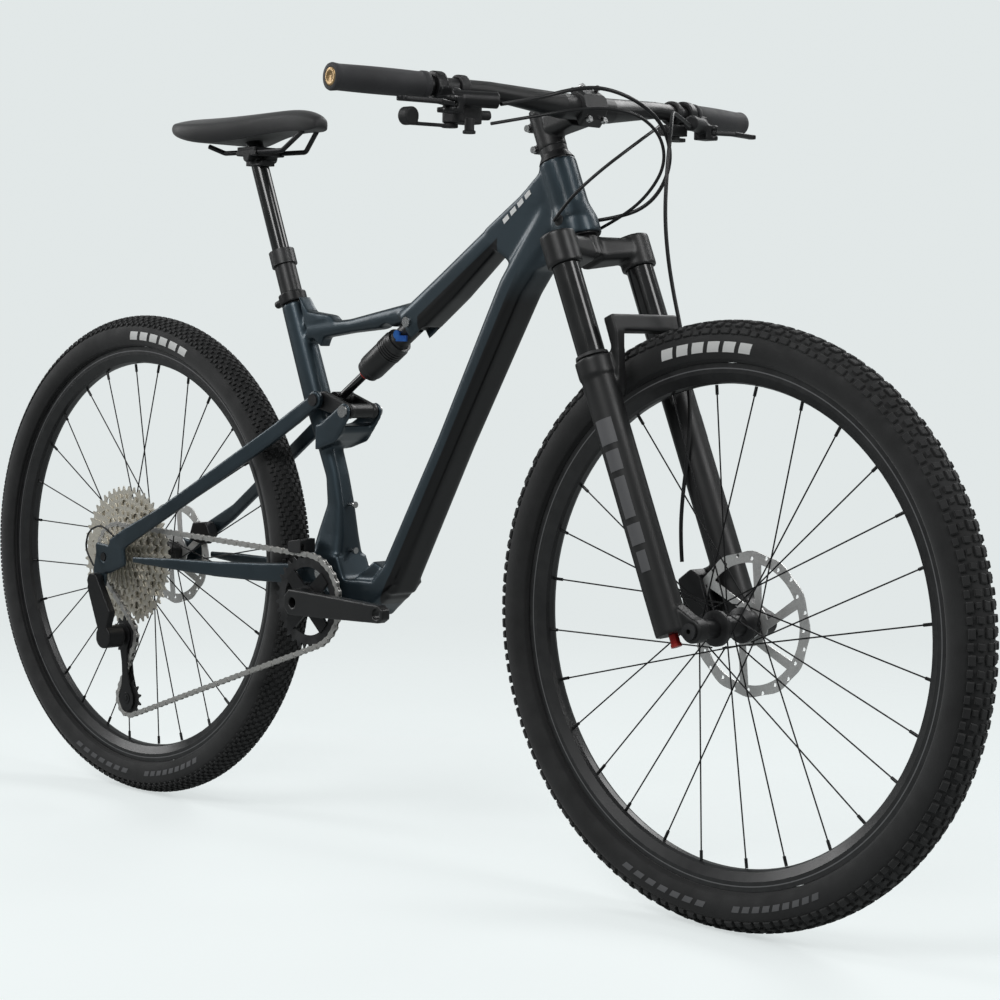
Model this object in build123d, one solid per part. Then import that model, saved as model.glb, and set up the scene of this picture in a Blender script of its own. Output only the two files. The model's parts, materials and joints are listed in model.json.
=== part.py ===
"""Full-suspension mountain bike. Millimetres; +X is forward, +Y is the rider's left, +Z is up.

The origin is on the ground midway between the tyres' ends. Each sub-part is one STEP file in parts/.
"""
from build123d import *
import math
import os

# ---------------------------------------------------------------- driving dimensions
WHEELBASE = 1142.0
FRONT_TYRE_R, FRONT_TYRE_SECTION = 370.0, 30.0
REAR_TYRE_R, REAR_TYRE_SECTION = 366.0, 28.5
RIM_FLANGE_R, RIM_SEAT_R, RIM_INNER_R, RIM_HALF_WIDTH = 318.0, 310.0, 293.0, 15.0
SPOKES_PER_WHEEL = 28
SPOKE_R = 0.95

HEAD_ANGLE = 67.0
HEAD_TUBE_LENGTH = 108.0
LEG_OFFSET = 24.0
LEG_HALF_SPACING = 70.0
STANCHION_R = 17.5
STEERER_R = 14.3
TAPER_R = 19.8

SEAT_ANGLE = 68.2
POST_R, DROPPER_OUTER_R = 12.5, 15.45

BAR_HALF_WIDTH = 380.0
BAR_SWEEP = 9.2
BAR_CLAMP_R, BAR_GRIP_R = 15.9, 11.1
GRIP_LENGTH, GRIP_R = 135.0, 17.0

CRANK_LENGTH = 170.0
CHAIN_LINE = 52.4
CHAIN_PITCH = 12.7
CHAINRING_TEETH = 32
COGS = (51, 45, 39, 33, 28, 24, 21, 18, 16, 14, 12, 10)
COG_PITCH, COG_THICKNESS = 3.4, 1.6
DRIVEN_COG = 5
JOCKEY_TEETH = 13
ROTOR_R_FRONT, ROTOR_R_REAR, ROTOR_THICKNESS = 90.0, 80.0, 1.8
FIT = 0.08

# ---------------------------------------------------------------- places worked out from them
REAR_X = -WHEELBASE / 2 - (FRONT_TYRE_R - REAR_TYRE_R) / 2
FRONT_X = REAR_X + WHEELBASE
REAR_AXLE = (REAR_X, REAR_TYRE_R)
FRONT_AXLE = (FRONT_X, FRONT_TYRE_R)
BB = (-138.0, 338.0)
MAIN_PIVOT = (-124.0, 378.0)
FLEX_PIVOT = (-520.0, 367.0)
ROCKER_PIVOT = (-93.6, 604.3)
STAY_PIVOT = (-151.5, 618.1)
SHOCK_EYE = (-136.0, 620.0)
SHOCK_MOUNT = (19.8, 729.0)
HEAD_BASE = (311.0, 837.0)
SEAT_COLLAR = (-235.0, 752.0)
BAR_CLAMP = (314.0, 1002.0)
JOCKEY_UPPER = (-553.0, 247.0)
JOCKEY_LOWER = (-543.0, 152.0)
HANGER_BOLT = (-581.0, 330.0)

head_up = (-math.cos(math.radians(HEAD_ANGLE)), math.sin(math.radians(HEAD_ANGLE)))
head_ahead = (head_up[1], -head_up[0])
seat_up = (-math.cos(math.radians(SEAT_ANGLE)), math.sin(math.radians(SEAT_ANGLE)))
seat_back = (-seat_up[1], seat_up[0])

nodes = {}


# ---------------------------------------------------------------- helpers
def add(name, *solids):
    nodes[name] = solids[0] if len(solids) == 1 else Compound(children=list(solids))


def at(place, y):
    return (place[0], y, place[1])


def head(along, ahead=0.0, y=0.0):
    """A point given along the steering axis, ahead of it and to the left."""
    return (HEAD_BASE[0] + along * head_up[0] + ahead * head_ahead[0], y,
            HEAD_BASE[1] + along * head_up[1] + ahead * head_ahead[1])


def seat(along, back=0.0, y=0.0):
    """A point given along the seatpost axis from the collar, behind it and to the left."""
    return (SEAT_COLLAR[0] + along * seat_up[0] + back * seat_back[0], y,
            SEAT_COLLAR[1] + along * seat_up[1] + back * seat_back[1])


def rod(start, end, radius):
    axis = Vector(*end) - Vector(*start)
    low = (Align.CENTER, Align.CENTER, Align.MIN)
    return Plane(origin=start, z_dir=axis) * Cylinder(radius, axis.length, align=low)


def cone(start, end, radius_start, radius_end):
    axis = Vector(*end) - Vector(*start)
    low = (Align.CENTER, Align.CENTER, Align.MIN)
    return Plane(origin=start, z_dir=axis) * Cone(radius_start, radius_end, axis.length, align=low)


def tube(start, end, outer, inner):
    return rod(start, end, outer) - rod(start, end, inner)


def cross_rod(place, y0, y1, radius):
    return rod(at(place, y0), at(place, y1), radius)


def plate(outline, y0, y1, corner=0.0):
    """A flat plate: an outline in X and Z, thick from y0 to y1."""
    if corner:
        wire = FilletPolyline(*[at(p, y0) for p in outline], radius=corner, close=True)
    else:
        wire = Polyline(*[at(p, y0) for p in outline], close=True)
    return extrude(make_face(wire), amount=y1 - y0, dir=(0, 1, 0))


def turned(place, profile):
    """A solid turned about the Y axis through place; profile holds (y, radius) points."""
    face = make_face(Polyline(*[(place[0], y, place[1] + r) for y, r in profile], close=True))
    return revolve(face, axis=Axis(at(place, 0), (0, 1, 0)))


def loft_bar(stations):
    """A bar through stations of (centre, direction, width, depth, corner radius)."""
    sections = []
    for centre, direction, width, depth, corner in stations:
        frame = Plane(origin=centre, x_dir=(0, 1, 0), z_dir=(direction[0], 0, direction[1]))
        sections.append(frame * RectangleRounded(width, depth, corner))
    return loft(sections, ruled=True)


def mirrored(solid):
    return mirror(solid, about=Plane.XZ)


def step(place, towards, distance):
    """The point that lies a distance from place towards another point, in X and Z."""
    dx, dz = towards[0] - place[0], towards[1] - place[1]
    length = math.hypot(dx, dz)
    return (place[0] + dx / length * distance, place[1] + dz / length * distance)


def shock_point(distance):
    """A point on the shock's axis, measured from its upper mount."""
    x, z = step(SHOCK_MOUNT, SHOCK_EYE, distance)
    return (x, 0, z)


def pitch_radius(teeth):
    return CHAIN_PITCH / 2 / math.sin(math.pi / teeth)


def sprocket(place, teeth, y, thickness, phase=0.0):
    """A toothed disc; the teeth are low wedges round the chain's rollers."""
    root = pitch_radius(teeth) - 3.9
    points = []
    for tooth in range(teeth):
        for part, radius in ((0.2, root), (0.42, root + 6.6), (0.58, root + 6.6), (0.8, root)):
            turn = (tooth + part) * 2 * math.pi / teeth + phase
            points.append((place[0] + radius * math.cos(turn), place[1] + radius * math.sin(turn)))
    return plate(points, y - thickness / 2, y + thickness / 2)


def cable(points, radius):
    """A tube along straight runs joined by arcs as large as the runs allow."""
    radii = []
    for before, corner, after in zip(points, points[1:], points[2:]):
        run_in, run_out = Vector(*corner) - Vector(*before), Vector(*after) - Vector(*corner)
        half_turn = math.radians(run_in.get_angle(run_out)) / 2
        radii.append(0.45 * min(run_in.length, run_out.length) / math.tan(half_turn))
    path = FilletPolyline(*points, radius=radii)
    start = Vector(*points[1]) - Vector(*points[0])
    solid = sweep(Plane(origin=points[0], z_dir=start) * Circle(radius), path=path)
    ratio = solid.volume / (math.pi * radius ** 2 * path.length)
    print("cable", round(path.length), "mm, least radius", round(min(radii), 1), "fill", round(ratio, 3))
    return solid


# ---------------------------------------------------------------- main frame
SEAT_TUBE_HALF, EAR_IN, EAR_OUT, ARM_IN, ARM_OUT = 18.0, 26.5, 32.0, 19.4, 25.6


def make_main_frame():
    down_dir, top_dir = (0.480, 0.877), (0.819, 0.574)
    seat_down = (-seat_up[0], -seat_up[1])
    seat_tube = loft_bar([
        (seat(0), seat_down, 36, 36, 16), (seat(-80), seat_down, 36, 38, 16),
        (seat(-140), seat_down, 36, 38, 15)])
    seat_low = loft_bar([
        (seat(-140), seat_down, 36, 38, 15), ((-160, 0, 566), (0.38, -0.92), 34, 30, 12),
        ((-138, 0, 512), (0.25, -0.97), 32, 26, 10), ((-130, 0, 472), (0, -1), 34, 32, 10),
        ((-134, 0, 432), (-0.1, -1), 44, 50, 12), ((-137, 0, 398), (0, -1), 56, 60, 12)])
    block = plate([(-166, 402), (-163, 322), (-50, 322), (8, 372), (-12, 396), (-36, 373),
                   (-92, 371), (-106, 402)], -29, 29)
    shell = rod(at(BB, -36.5), at(BB, 36.5), 21)
    down_tube = loft_bar([
        ((-16, 0, 365), down_dir, 56, 38, 12), ((98.4, 0, 573), down_dir, 52, 35, 12),
        ((210, 0, 777), down_dir, 54, 42, 12), ((276, 0, 866), (0.6, 0.8), 46, 52, 14)])
    top_tube = loft_bar([
        ((12, 0, 723), top_dir, 44, 45, 10), ((90, 0, 778), top_dir, 44, 42, 10),
        ((184, 0, 850), top_dir, 42, 33, 10), ((262, 0, 898), top_dir, 44, 42, 12)])
    strut = loft_bar([
        ((-196, 0, 712), (0.98, 0.15), 26, 24, 8), ((-110, 0, 722), (0.99, 0.12), 24, 20, 8),
        ((22, 0, 741), (0.95, 0.3), 36, 32, 10)])
    head_tube = (rod(head(0), head(22), 30) + cone(head(22), head(44), 30, 24.5)
                 + rod(head(44), head(HEAD_TUBE_LENGTH), 24.5))
    shelf = plate([(-152, 584), (-98, 584), (-98, 575), (-120, 562), (-152, 548)], -EAR_OUT, EAR_OUT)
    ear = plate([(-152, 580), (-103, 612), (-84, 612), (-82, 596), (-110, 560), (-148, 548)],
                EAR_IN, EAR_OUT, corner=4) + cross_rod(ROCKER_PIVOT, EAR_IN, EAR_OUT, 12)
    body = (seat_tube + seat_low + block + shell + down_tube + top_tube + strut + head_tube
            + shelf + ear + mirrored(ear))
    body -= plate([(-44, 660), (-44, 722), (0, 738), (12, 745), (34, 746), (46, 730), (52, 700)], -15, 15)
    body -= rod(shock_point(34), shock_point(132), 23)
    body -= rod(seat(5), seat(-146), DROPPER_OUTER_R + 0.05)
    body -= rod(head(-5), head(HEAD_TUBE_LENGTH + 5), 20.6)
    body -= rod(head(-1), head(14), 26)
    body -= rod(head(HEAD_TUBE_LENGTH - 12), head(HEAD_TUBE_LENGTH + 1), 22)
    body -= rod(at(BB, -40), at(BB, 40), 17)
    body -= rod(at(MAIN_PIVOT, -40), at(MAIN_PIVOT, 40), 7.55)
    body -= rod(at(ROCKER_PIVOT, -40), at(ROCKER_PIVOT, 40), 5.05)
    body -= rod(at(SHOCK_MOUNT, -30), at(SHOCK_MOUNT, 30), 4.05)
    for hole_x, hole_z in ((-108, 473), (-106, 409)):
        body -= rod((hole_x + 6, 0, hole_z), (hole_x - 14, 0, hole_z), 2.5)
    add("main_frame", body)


def make_frame_fittings():
    cups = []
    for side in (-1, 1):
        outer = rod(at(BB, side * 36.6), at(BB, side * 44), 21)
        sleeve = rod(at(BB, side * 20), at(BB, side * 36.6), 16.95)
        cups.append(outer + sleeve - rod(at(BB, side * 10), at(BB, side * 50), 12 + FIT))
    add("bottom_bracket", *cups)
    lower = tube(head(0.05), head(13.9), 25.95, TAPER_R + FIT)
    upper = tube(head(HEAD_TUBE_LENGTH - 11.9), head(HEAD_TUBE_LENGTH), 21.95, STEERER_R + FIT)
    cover = cone(head(HEAD_TUBE_LENGTH + 0.05), head(HEAD_TUBE_LENGTH + 10), 23.5, 18)
    cover -= rod(head(HEAD_TUBE_LENGTH - 1), head(HEAD_TUBE_LENGTH + 12), STEERER_R + FIT)
    add("headset", lower, upper + cover)
    collar = tube(seat(0.1), seat(15), 20, DROPPER_OUTER_R + 0.05)
    collar += rod(seat(7.5, 18, -8), seat(7.5, 27, -8), 5.5) + rod(seat(7.5, 18, 8), seat(7.5, 27, 8), 5.5)
    collar -= rod(seat(-1), seat(20), DROPPER_OUTER_R + 0.05)
    collar += rod(seat(7.5, 23, -8), seat(7.5, 23, 8), 2.5)
    add("seatpost_collar", collar)
    outer = rod(seat(-140), seat(60), DROPPER_OUTER_R)
    outer += rod(seat(58), seat(80), 18.5)
    outer -= rod(seat(-136), seat(90), POST_R + FIT)
    add("dropper_outer", outer)
    pivots = [cross_rod(MAIN_PIVOT, -44.6, 44.6, 7.5)]
    for side in (-1, 1):
        pivots[0] += cross_rod(MAIN_PIVOT, side * 41.9, side * 44.6, 10)
        shank = cross_rod(ROCKER_PIVOT, side * (ARM_IN - 6), side * EAR_OUT, 5)
        pivots.append(shank + cross_rod(ROCKER_PIVOT, side * EAR_OUT, side * (EAR_OUT + 3), 8.5))
    pivots.append(cross_rod(SHOCK_MOUNT, -22, 22, 4) + cross_rod(SHOCK_MOUNT, -24.5, -22, 7))
    for hole_x, hole_z in ((-108, 473), (-106, 409)):
        pivots.append(rod((hole_x + 8.5, 0, hole_z), (hole_x + 5.4, 0, hole_z), 4.5)
                      + rod((hole_x + 5.5, 0, hole_z), (hole_x - 10, 0, hole_z), 2.4))
    add("frame_bolts", *pivots)
    guide = plate([(-176, 404), (-150, 404), (-150, 424), (-176, 420)], -58, -46, corner=3)
    guide -= plate([(-190, 398), (-130, 398), (-130, 417), (-190, 414)], -55.6, -49.2)
    guide += plate([(-158, 404), (-150, 404), (-150, 424), (-158, 424)], -46.1, -29.05)
    add("chain_guide", guide)


# ---------------------------------------------------------------- steering
def leg(along, y=LEG_HALF_SPACING, ahead=LEG_OFFSET):
    return head(along, ahead, y)


def bar_point(y):
    reach = max(0.0, abs(y) - 45.0)
    rise = min(1.0, max(0.0, (abs(y) - 45.0) / 110.0)) * 10.0
    return (BAR_CLAMP[0] - reach * math.tan(math.radians(BAR_SWEEP)), y, BAR_CLAMP[1] + rise)


def make_fork_upper():
    crown = loft_bar([(head(-1.0), head_up, 46, 46, 22.9), (head(-30), head_up, 50, 50, 24)])
    for side in (-1, 1):
        arm = Plane(origin=head(-20, 4, side * 8), x_dir=head_ahead_3(), z_dir=(0, side, 0))
        tip = Plane(origin=head(-24, LEG_OFFSET, side * 60), x_dir=head_ahead_3(), z_dir=(0, side, 0))
        crown += loft([arm * RectangleRounded(44, 34, 10), tip * RectangleRounded(36, 28, 10)], ruled=True)
        crown += rod(leg(-6, side * LEG_HALF_SPACING), leg(-48, side * LEG_HALF_SPACING), 22.5)
        crown -= rod(leg(-9, side * LEG_HALF_SPACING), leg(-60, side * LEG_HALF_SPACING), STANCHION_R)
    steerer = rod(head(-2), head(34), TAPER_R) + cone(head(34), head(70), TAPER_R, STEERER_R)
    steerer += rod(head(70), head(174), STEERER_R)
    add("fork_crown", crown + steerer)
    stanchions = []
    for side in (-1, 1):
        y = side * LEG_HALF_SPACING
        stanchions.append(tube(leg(-9.05, y), leg(-330, y), STANCHION_R - 0.02, STANCHION_R - 2))
    add("fork_stanchions", *stanchions)


def head_ahead_3():
    return (head_ahead[0], 0, head_ahead[1])


def bar_frame(y, along=0.0):
    """A plane across the bar at y, looking along the bar to the left."""
    here, there = Vector(*bar_point(y)), Vector(*bar_point(y + math.copysign(1, y)))
    outward = (there - here).normalized()
    return Plane(origin=here, x_dir=(0, 0, 1), z_dir=outward)


def make_cockpit():
    clamp_low, clamp_high = 126, 176
    stem = rod(head(clamp_low), head(clamp_high), 18.5)
    root = head(156, 10)
    stem += loft([Plane(origin=root, x_dir=(0, 1, 0), z_dir=stem_dir()) * RectangleRounded(34, 36, 12),
                  Plane(origin=stem_point(-12), x_dir=(0, 1, 0), z_dir=stem_dir())
                  * RectangleRounded(44, 38, 8)], ruled=True)
    for z in (133, 163):
        stem += rod(head(z, -20, -12), head(z, -20, 12), 5.5)
    stem -= rod(head(clamp_low - 5), head(clamp_high + 5), STEERER_R + 0.02)
    stem -= rod((BAR_CLAMP[0], -40, BAR_CLAMP[1]), (BAR_CLAMP[0], 40, BAR_CLAMP[1]), BAR_CLAMP_R + 0.02)
    stem -= plate([stem_xz(1.0, -40), stem_xz(1.0, 40), stem_xz(60, 40), stem_xz(60, -40)], -60, 60)
    add("stem", stem)
    front = Plane(origin=stem_point(12), x_dir=(0, 1, 0), z_dir=stem_dir())
    face = loft([Plane(origin=stem_point(2.2), x_dir=(0, 1, 0), z_dir=stem_dir())
                 * RectangleRounded(44, 52, 6), front * RectangleRounded(44, 40, 6),
                 Plane(origin=stem_point(21), x_dir=(0, 1, 0), z_dir=stem_dir())
                 * RectangleRounded(42, 20, 6)], ruled=True)
    face -= rod((BAR_CLAMP[0], -40, BAR_CLAMP[1]), (BAR_CLAMP[0], 40, BAR_CLAMP[1]), BAR_CLAMP_R + 0.02)
    for side in (-1, 1):
        for up in (-1, 1):
            face -= rod(stem_point(12.6, 21.5 * up, side * 14), stem_point(30, 21.5 * up, side * 14), 4.4)
    add("stem_faceplate", face)
    spacer = tube(head(HEAD_TUBE_LENGTH + 10.3), head(clamp_low - 0.05), 18, STEERER_R + 0.02)
    cap = rod(head(clamp_high + 0.05), head(clamp_high + 4), 17.5)
    cap += rod(head(clamp_high + 4), head(clamp_high + 7), 5)
    bolts = [spacer, cap]
    for z in (133, 163):
        bolts.append(rod(head(z, -20, -15.5), head(z, -20, -12.05), 4.5))
    for side in (-1, 1):
        for up in (-1, 1):
            bolts.append(rod(stem_point(13, 21.5 * up, side * 14), stem_point(18, 21.5 * up, side * 14), 4))
    add("stem_fasteners", *bolts)
    half = []
    for side in (-1, 1):
        knee, bend = bar_point(side * 45), bar_point(side * 155)
        piece = rod(at(BAR_CLAMP, 0), knee, BAR_CLAMP_R) + Pos(*knee) * Sphere(BAR_CLAMP_R + 0.05)
        piece += cone(knee, bend, BAR_CLAMP_R, BAR_GRIP_R) + Pos(*bend) * Sphere(BAR_GRIP_R + 0.05)
        piece += rod(bend, bar_point(side * (BAR_HALF_WIDTH - 3)), BAR_GRIP_R)
        half.append(piece)
    add("handlebar", half[0] + half[1])
    grips = []
    for side in (-1, 1):
        inner, outer = side * (BAR_HALF_WIDTH - GRIP_LENGTH), side * BAR_HALF_WIDTH
        grip = rod(bar_point(inner), bar_point(outer), GRIP_R)
        grips.append(grip - rod(bar_point(inner - side * 5), bar_point(side * (BAR_HALF_WIDTH - 2.9)),
                                BAR_GRIP_R + 0.02))
    add("grips", *grips)


def stem_dir():
    base = head(156)
    dx, dz = BAR_CLAMP[0] - base[0], BAR_CLAMP[1] - base[2]
    size = math.hypot(dx, dz)
    return (dx / size, 0, dz / size)


def stem_xz(out, up=0.0):
    d = stem_dir()
    return (BAR_CLAMP[0] + out * d[0] - up * d[2], BAR_CLAMP[1] + out * d[2] + up * d[0])


def stem_point(out, up=0.0, y=0.0):
    x, z = stem_xz(out, up)
    return (x, y, z)


def on_bar(side, y, fore=0.0, up=0.0):
    """A point beside the bar: y from the middle plane, ahead of the bar and above it."""
    x, _, z = bar_point(side * y)
    return (x + fore, side * y, z + up)


def lift(point, up):
    return (point[0], point[1], point[2] + up)


def block(centre, size_x, size_y, size_z):
    return Pos(*centre) * Box(size_x, size_y, size_z)


def bar_ring(side, y0, y1, radius):
    return rod(on_bar(side, y0), on_bar(side, y1), radius)


def make_brake_bodies():
    bodies = []
    for side in (-1, 1):
        pivot = on_bar(side, LEVER_Y, LEVER_FORE, LEVER_UP)
        body = bar_ring(side, 226, 240, 18)
        body += rod(on_bar(side, 236, 30, -16), on_bar(side, 182, 46, -16), 10)
        body += block(on_bar(side, 233, 22, -12), 26, 13, 18)
        body += block(on_bar(side, 240, 34, LEVER_UP), 22, 26, 20)
        body += rod(lift(pivot, -9), lift(pivot, 9), 8)
        body -= bar_ring(side, 215, 260, 11.25)
        body -= block(on_bar(side, 262, 36, LEVER_UP), 60, 44, 7.4)
        body -= rod(lift(pivot, -3.7), lift(pivot, 3.7), 9)
        bodies.append(body)
    add("brake_bodies", *bodies)


def blade_run(start, end, width):
    a, b = Vector(*start), Vector(*end)
    low = (Align.CENTER, Align.CENTER, Align.MIN)
    return Plane(origin=a, x_dir=(0, 0, 1), z_dir=b - a) * Box(6, width, (b - a).length, align=low)


LEVER_Y, LEVER_FORE, LEVER_UP = 246.0, 40.0, -24.0


def make_brake_levers():
    for side, name in ((-1, "brake_lever_right"), (1, "brake_lever_left")):
        pivot = on_bar(side, LEVER_Y, LEVER_FORE, LEVER_UP)
        bend = on_bar(side, 276, 58, LEVER_UP)
        tip = on_bar(side, 328, 56, LEVER_UP)
        blade = rod(lift(pivot, -3.2), lift(pivot, 3.2), 6.5)
        blade += blade_run(pivot, bend, 10) + blade_run(bend, tip, 10)
        blade += rod(lift(bend, -3.0), lift(bend, 3.0), 5)
        blade += rod(lift(tip, -3.0), lift(tip, 3.0), 6)
        add(name, blade)


def make_shifter():
    housing = block(on_bar(-1, 199, 6, -32), 32, 46, 22)
    housing = fillet(housing.edges().filter_by(Axis.Z), 9)
    housing += bar_ring(-1, 192, 204, 16) + rod(on_bar(-1, 181, 8, -32), on_bar(-1, 162, 10, -31), 6)
    housing -= bar_ring(-1, 180, 220, 11.25)
    add("shifter_body", housing)
    hub, pad = on_bar(-1, 215, 4, -46.5), on_bar(-1, 272, 0, -46.5)
    main = rod(lift(hub, -2.5), lift(hub, 2.5), 10) + blade_flat(hub, pad, 9, 4)
    main += rod(on_bar(-1, 272, -7, -38), on_bar(-1, 272, 8, -38), 11)
    add("shift_paddle_main", main)
    hub, pad = on_bar(-1, 190, 8, -52.5), on_bar(-1, 214, 36, -52.5)
    release = rod(lift(hub, -2.2), lift(hub, 2.2), 8) + blade_flat(hub, pad, 8, 4)
    release += rod(lift(pad, -2), lift(pad, 14), 6)
    add("shift_paddle_release", release)


def blade_flat(start, end, width, thickness):
    a, b = Vector(*start), Vector(*end)
    low = (Align.CENTER, Align.CENTER, Align.MIN)
    return Plane(origin=a, x_dir=(0, 0, 1), z_dir=b - a) * Box(thickness, width, (b - a).length, align=low)


def make_dropper_remote():
    housing = bar_ring(1, 196, 206, 16) + block(on_bar(1, 192, 8, -24), 24, 34, 14)
    housing += rod(on_bar(1, 176, 14, -24), on_bar(1, 165, 16, -24), 4.5)
    housing -= bar_ring(1, 180, 220, 11.25)
    add("dropper_remote_body", housing)
    hub, pad = on_bar(1, 196, 8, -33.8), on_bar(1, 222, -2, -33.8)
    lever = rod(lift(hub, -2.2), lift(hub, 2.2), 8) + blade_flat(hub, pad, 10, 4.4)
    lever += rod(lift(pad, -2.2), lift(pad, 2.2), 10)
    add("dropper_lever", lever)


REAR_HOSE = [(340, -178, 992), (338, -112, 1004), (354, -70, 1018), (380, -40, 1022), (400, 2, 1008),
             (402, 46, 985), (396, 75, 951), (386, 78, 914), (366, 70, 884), (338, 52, 868), (302, 32.6, 862)]
SHIFT_CABLE = [(306, -160, 971.5), (324, -112, 982), (345, -64, 993), (376, -36, 997), (401, 2, 992),
               (406, 42, 968), (401, 58, 932), (380, 52, 896), (346, 43, 868), (305, 32.6, 848)]
DROPPER_CABLE = [(303, 163, 988), (345, 118, 990), (372, 66, 976), (377, 18, 952), (354, -16, 920),
                 (326, -40, 885), (296, -32.6, 860)]
FRONT_HOSE = [(340, 178, 992), (362, 120, 1004), (388, 84, 998), (409, 56, 966), (418, 40, 918),
              (421, 35, 866), (424, 39, 816), (430, 45, 770), (440, 49, 726), (451, 51, 672), (459, 49, 618),
              (459, 44.8, 566), (452, 45, 514), (449, 47, 468), (451, 49, 436)]


def make_cables():
    add("brake_hoses", cable(REAR_HOSE, 2.5), cable(FRONT_HOSE, 2.5))
    add("shift_cable", cable(SHIFT_CABLE, 2.0))
    add("dropper_cable", cable(DROPPER_CABLE, 2.0))


# ---------------------------------------------------------------- fork lowers and front brake
def make_fork_lowers():
    side_legs = None
    for side in (-1, 1):
        y = side * LEG_HALF_SPACING
        one = rod(leg(-172, y), leg(-196, y), 23.5) + rod(leg(-190, y), leg(-525, y), 21.5)
        one += rod(at(FRONT_AXLE, side * 55.2), at(FRONT_AXLE, side * 76), 15)
        foot = [leg_xz(-470), leg_xz(-512), (FRONT_X - 2, FRONT_TYRE_R - 14.5), (FRONT_X + 8, FRONT_TYRE_R + 11)]
        one += plate(foot, min(side * 57, side * 76), max(side * 57, side * 76))
        side_legs = one if side_legs is None else side_legs + one
    cheek = plate([leg_xz(-234, 30), leg_xz(-214, 44), leg_xz(-150, 66), leg_xz(-128, 66), leg_xz(-128, 50),
                   leg_xz(-166, 49), leg_xz(-184, 30)], 46, 62)
    bridge = plate([leg_xz(-150, 66), leg_xz(-128, 66), leg_xz(-128, 50), leg_xz(-149, 50)], -62, 62)
    mount = plate([leg_xz(-502, 4), leg_xz(-440, 4), leg_xz(-440, -14), leg_xz(-495, -16)], 56.2, 66)
    body = side_legs + cheek + mirrored(cheek) + bridge + mount
    for side in (-1, 1):
        y = side * LEG_HALF_SPACING
        body -= rod(leg(-60, y), leg(-512, y), STANCHION_R + FIT)
    body -= rod(at(FRONT_AXLE, -90), at(FRONT_AXLE, 90), 7.55)
    add("fork_lowers", body)
    axle = cross_rod(FRONT_AXLE, -77.5, 72, 7.5) + cross_rod(FRONT_AXLE, -79.5, -76.1, 10)
    axle -= cross_rod(FRONT_AXLE, -85, -72, 3)
    add("front_axle", axle)
    caliper = plate([leg_xz(-508, -20), leg_xz(-500, 4), leg_xz(-452, 6), leg_xz(-440, -4), leg_xz(-446, -28),
                     leg_xz(-495, -32)], 30.5, 55.5, corner=4)
    caliper -= cross_rod(FRONT_AXLE, 37.4, 41.6, ROTOR_R_FRONT + 1.5)
    add("front_caliper", caliper)
    y = -LEG_HALF_SPACING
    knob = rod(leg(-525.4, y), leg(-537, y), 6) + rod(leg(-537, y), leg(-541, y), 6.8)
    add("rebound_knob", knob)


def leg_xz(along, ahead=LEG_OFFSET):
    x, _, z = head(along, ahead)
    return (x, z)


# ---------------------------------------------------------------- wheels
def make_tyre(name, axle, radius, section):
    """A tyre's casing, open towards the rim, with two beads on the rim's seats."""
    centre = radius - section
    outer = Circle(section) - Circle(section - 3.2)
    outer -= Pos(0, RIM_FLANGE_R + 1.0 - centre - 60) * Rectangle(200, 120)
    place = Plane(origin=(axle[0], 0, axle[1]), x_dir=(0, 1, 0), z_dir=(1, 0, 0))
    sketch = Pos(0, centre) * outer
    lip = RIM_FLANGE_R + 0.6
    wide = math.sqrt(section ** 2 - (lip + 1.5 - centre) ** 2)
    bead = [(12.0, RIM_SEAT_R + 0.2), (8.6, RIM_SEAT_R + 0.2), (8.6, lip + 3.0),
            (wide - 3.5, lip + 4.0), (wide - 0.2, lip + 2.0), (wide - 1.4, lip), (12.0, lip)]
    for side in (-1, 1):
        sketch += make_face(Polyline(*[(side * y, r) for y, r in bead], close=True))
    add(name, revolve(place * sketch, axis=Axis((axle[0], 0, axle[1]), (0, 1, 0))))


def make_rim(name, axle):
    edge, seat_edge = RIM_HALF_WIDTH, 12.3
    half = [(edge, RIM_FLANGE_R), (edge, RIM_FLANGE_R - 12), (9, RIM_INNER_R + 2), (4, RIM_INNER_R)]
    top = [(seat_edge, RIM_FLANGE_R), (seat_edge, RIM_SEAT_R), (6, RIM_SEAT_R - 3)]
    profile = half + [(-y, r) for y, r in reversed(half)]
    profile += [(-y, r) for y, r in top] + [(y, r) for y, r in reversed(top)]
    add(name, turned(axle, profile))


def make_spokes(name, axle, flanges, flange_r):
    """Crossed spokes: each leaves a flange hole nearly along the flange and ends in a nipple."""
    spokes = []
    for index in range(SPOKES_PER_WHEEL):
        side = index % 2
        trail = 1 if (index // 2) % 2 else -1
        rim_turn = (index + 0.5) * 2 * math.pi / SPOKES_PER_WHEEL
        hub_turn = rim_turn + trail * math.radians(68)
        y = flanges[side]
        lean = 3.0 if y > 0 else -3.0
        tip_y, hub_y = lean, y + (1.6 if trail > 0 else -1.6)
        hub_point = (axle[0] + flange_r * math.cos(hub_turn), hub_y, axle[1] + flange_r * math.sin(hub_turn))
        reach = RIM_INNER_R - 0.6
        rim_point = (axle[0] + reach * math.cos(rim_turn), tip_y, axle[1] + reach * math.sin(rim_turn))
        spoke = rod(hub_point, rim_point, SPOKE_R)
        inward = Vector(*hub_point) - Vector(*rim_point)
        end = Vector(*rim_point) + inward.normalized() * 12
        spoke += rod(rim_point, (end.X, end.Y, end.Z), 2.0)
        spokes.append(spoke)
    add(name, *spokes)


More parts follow.
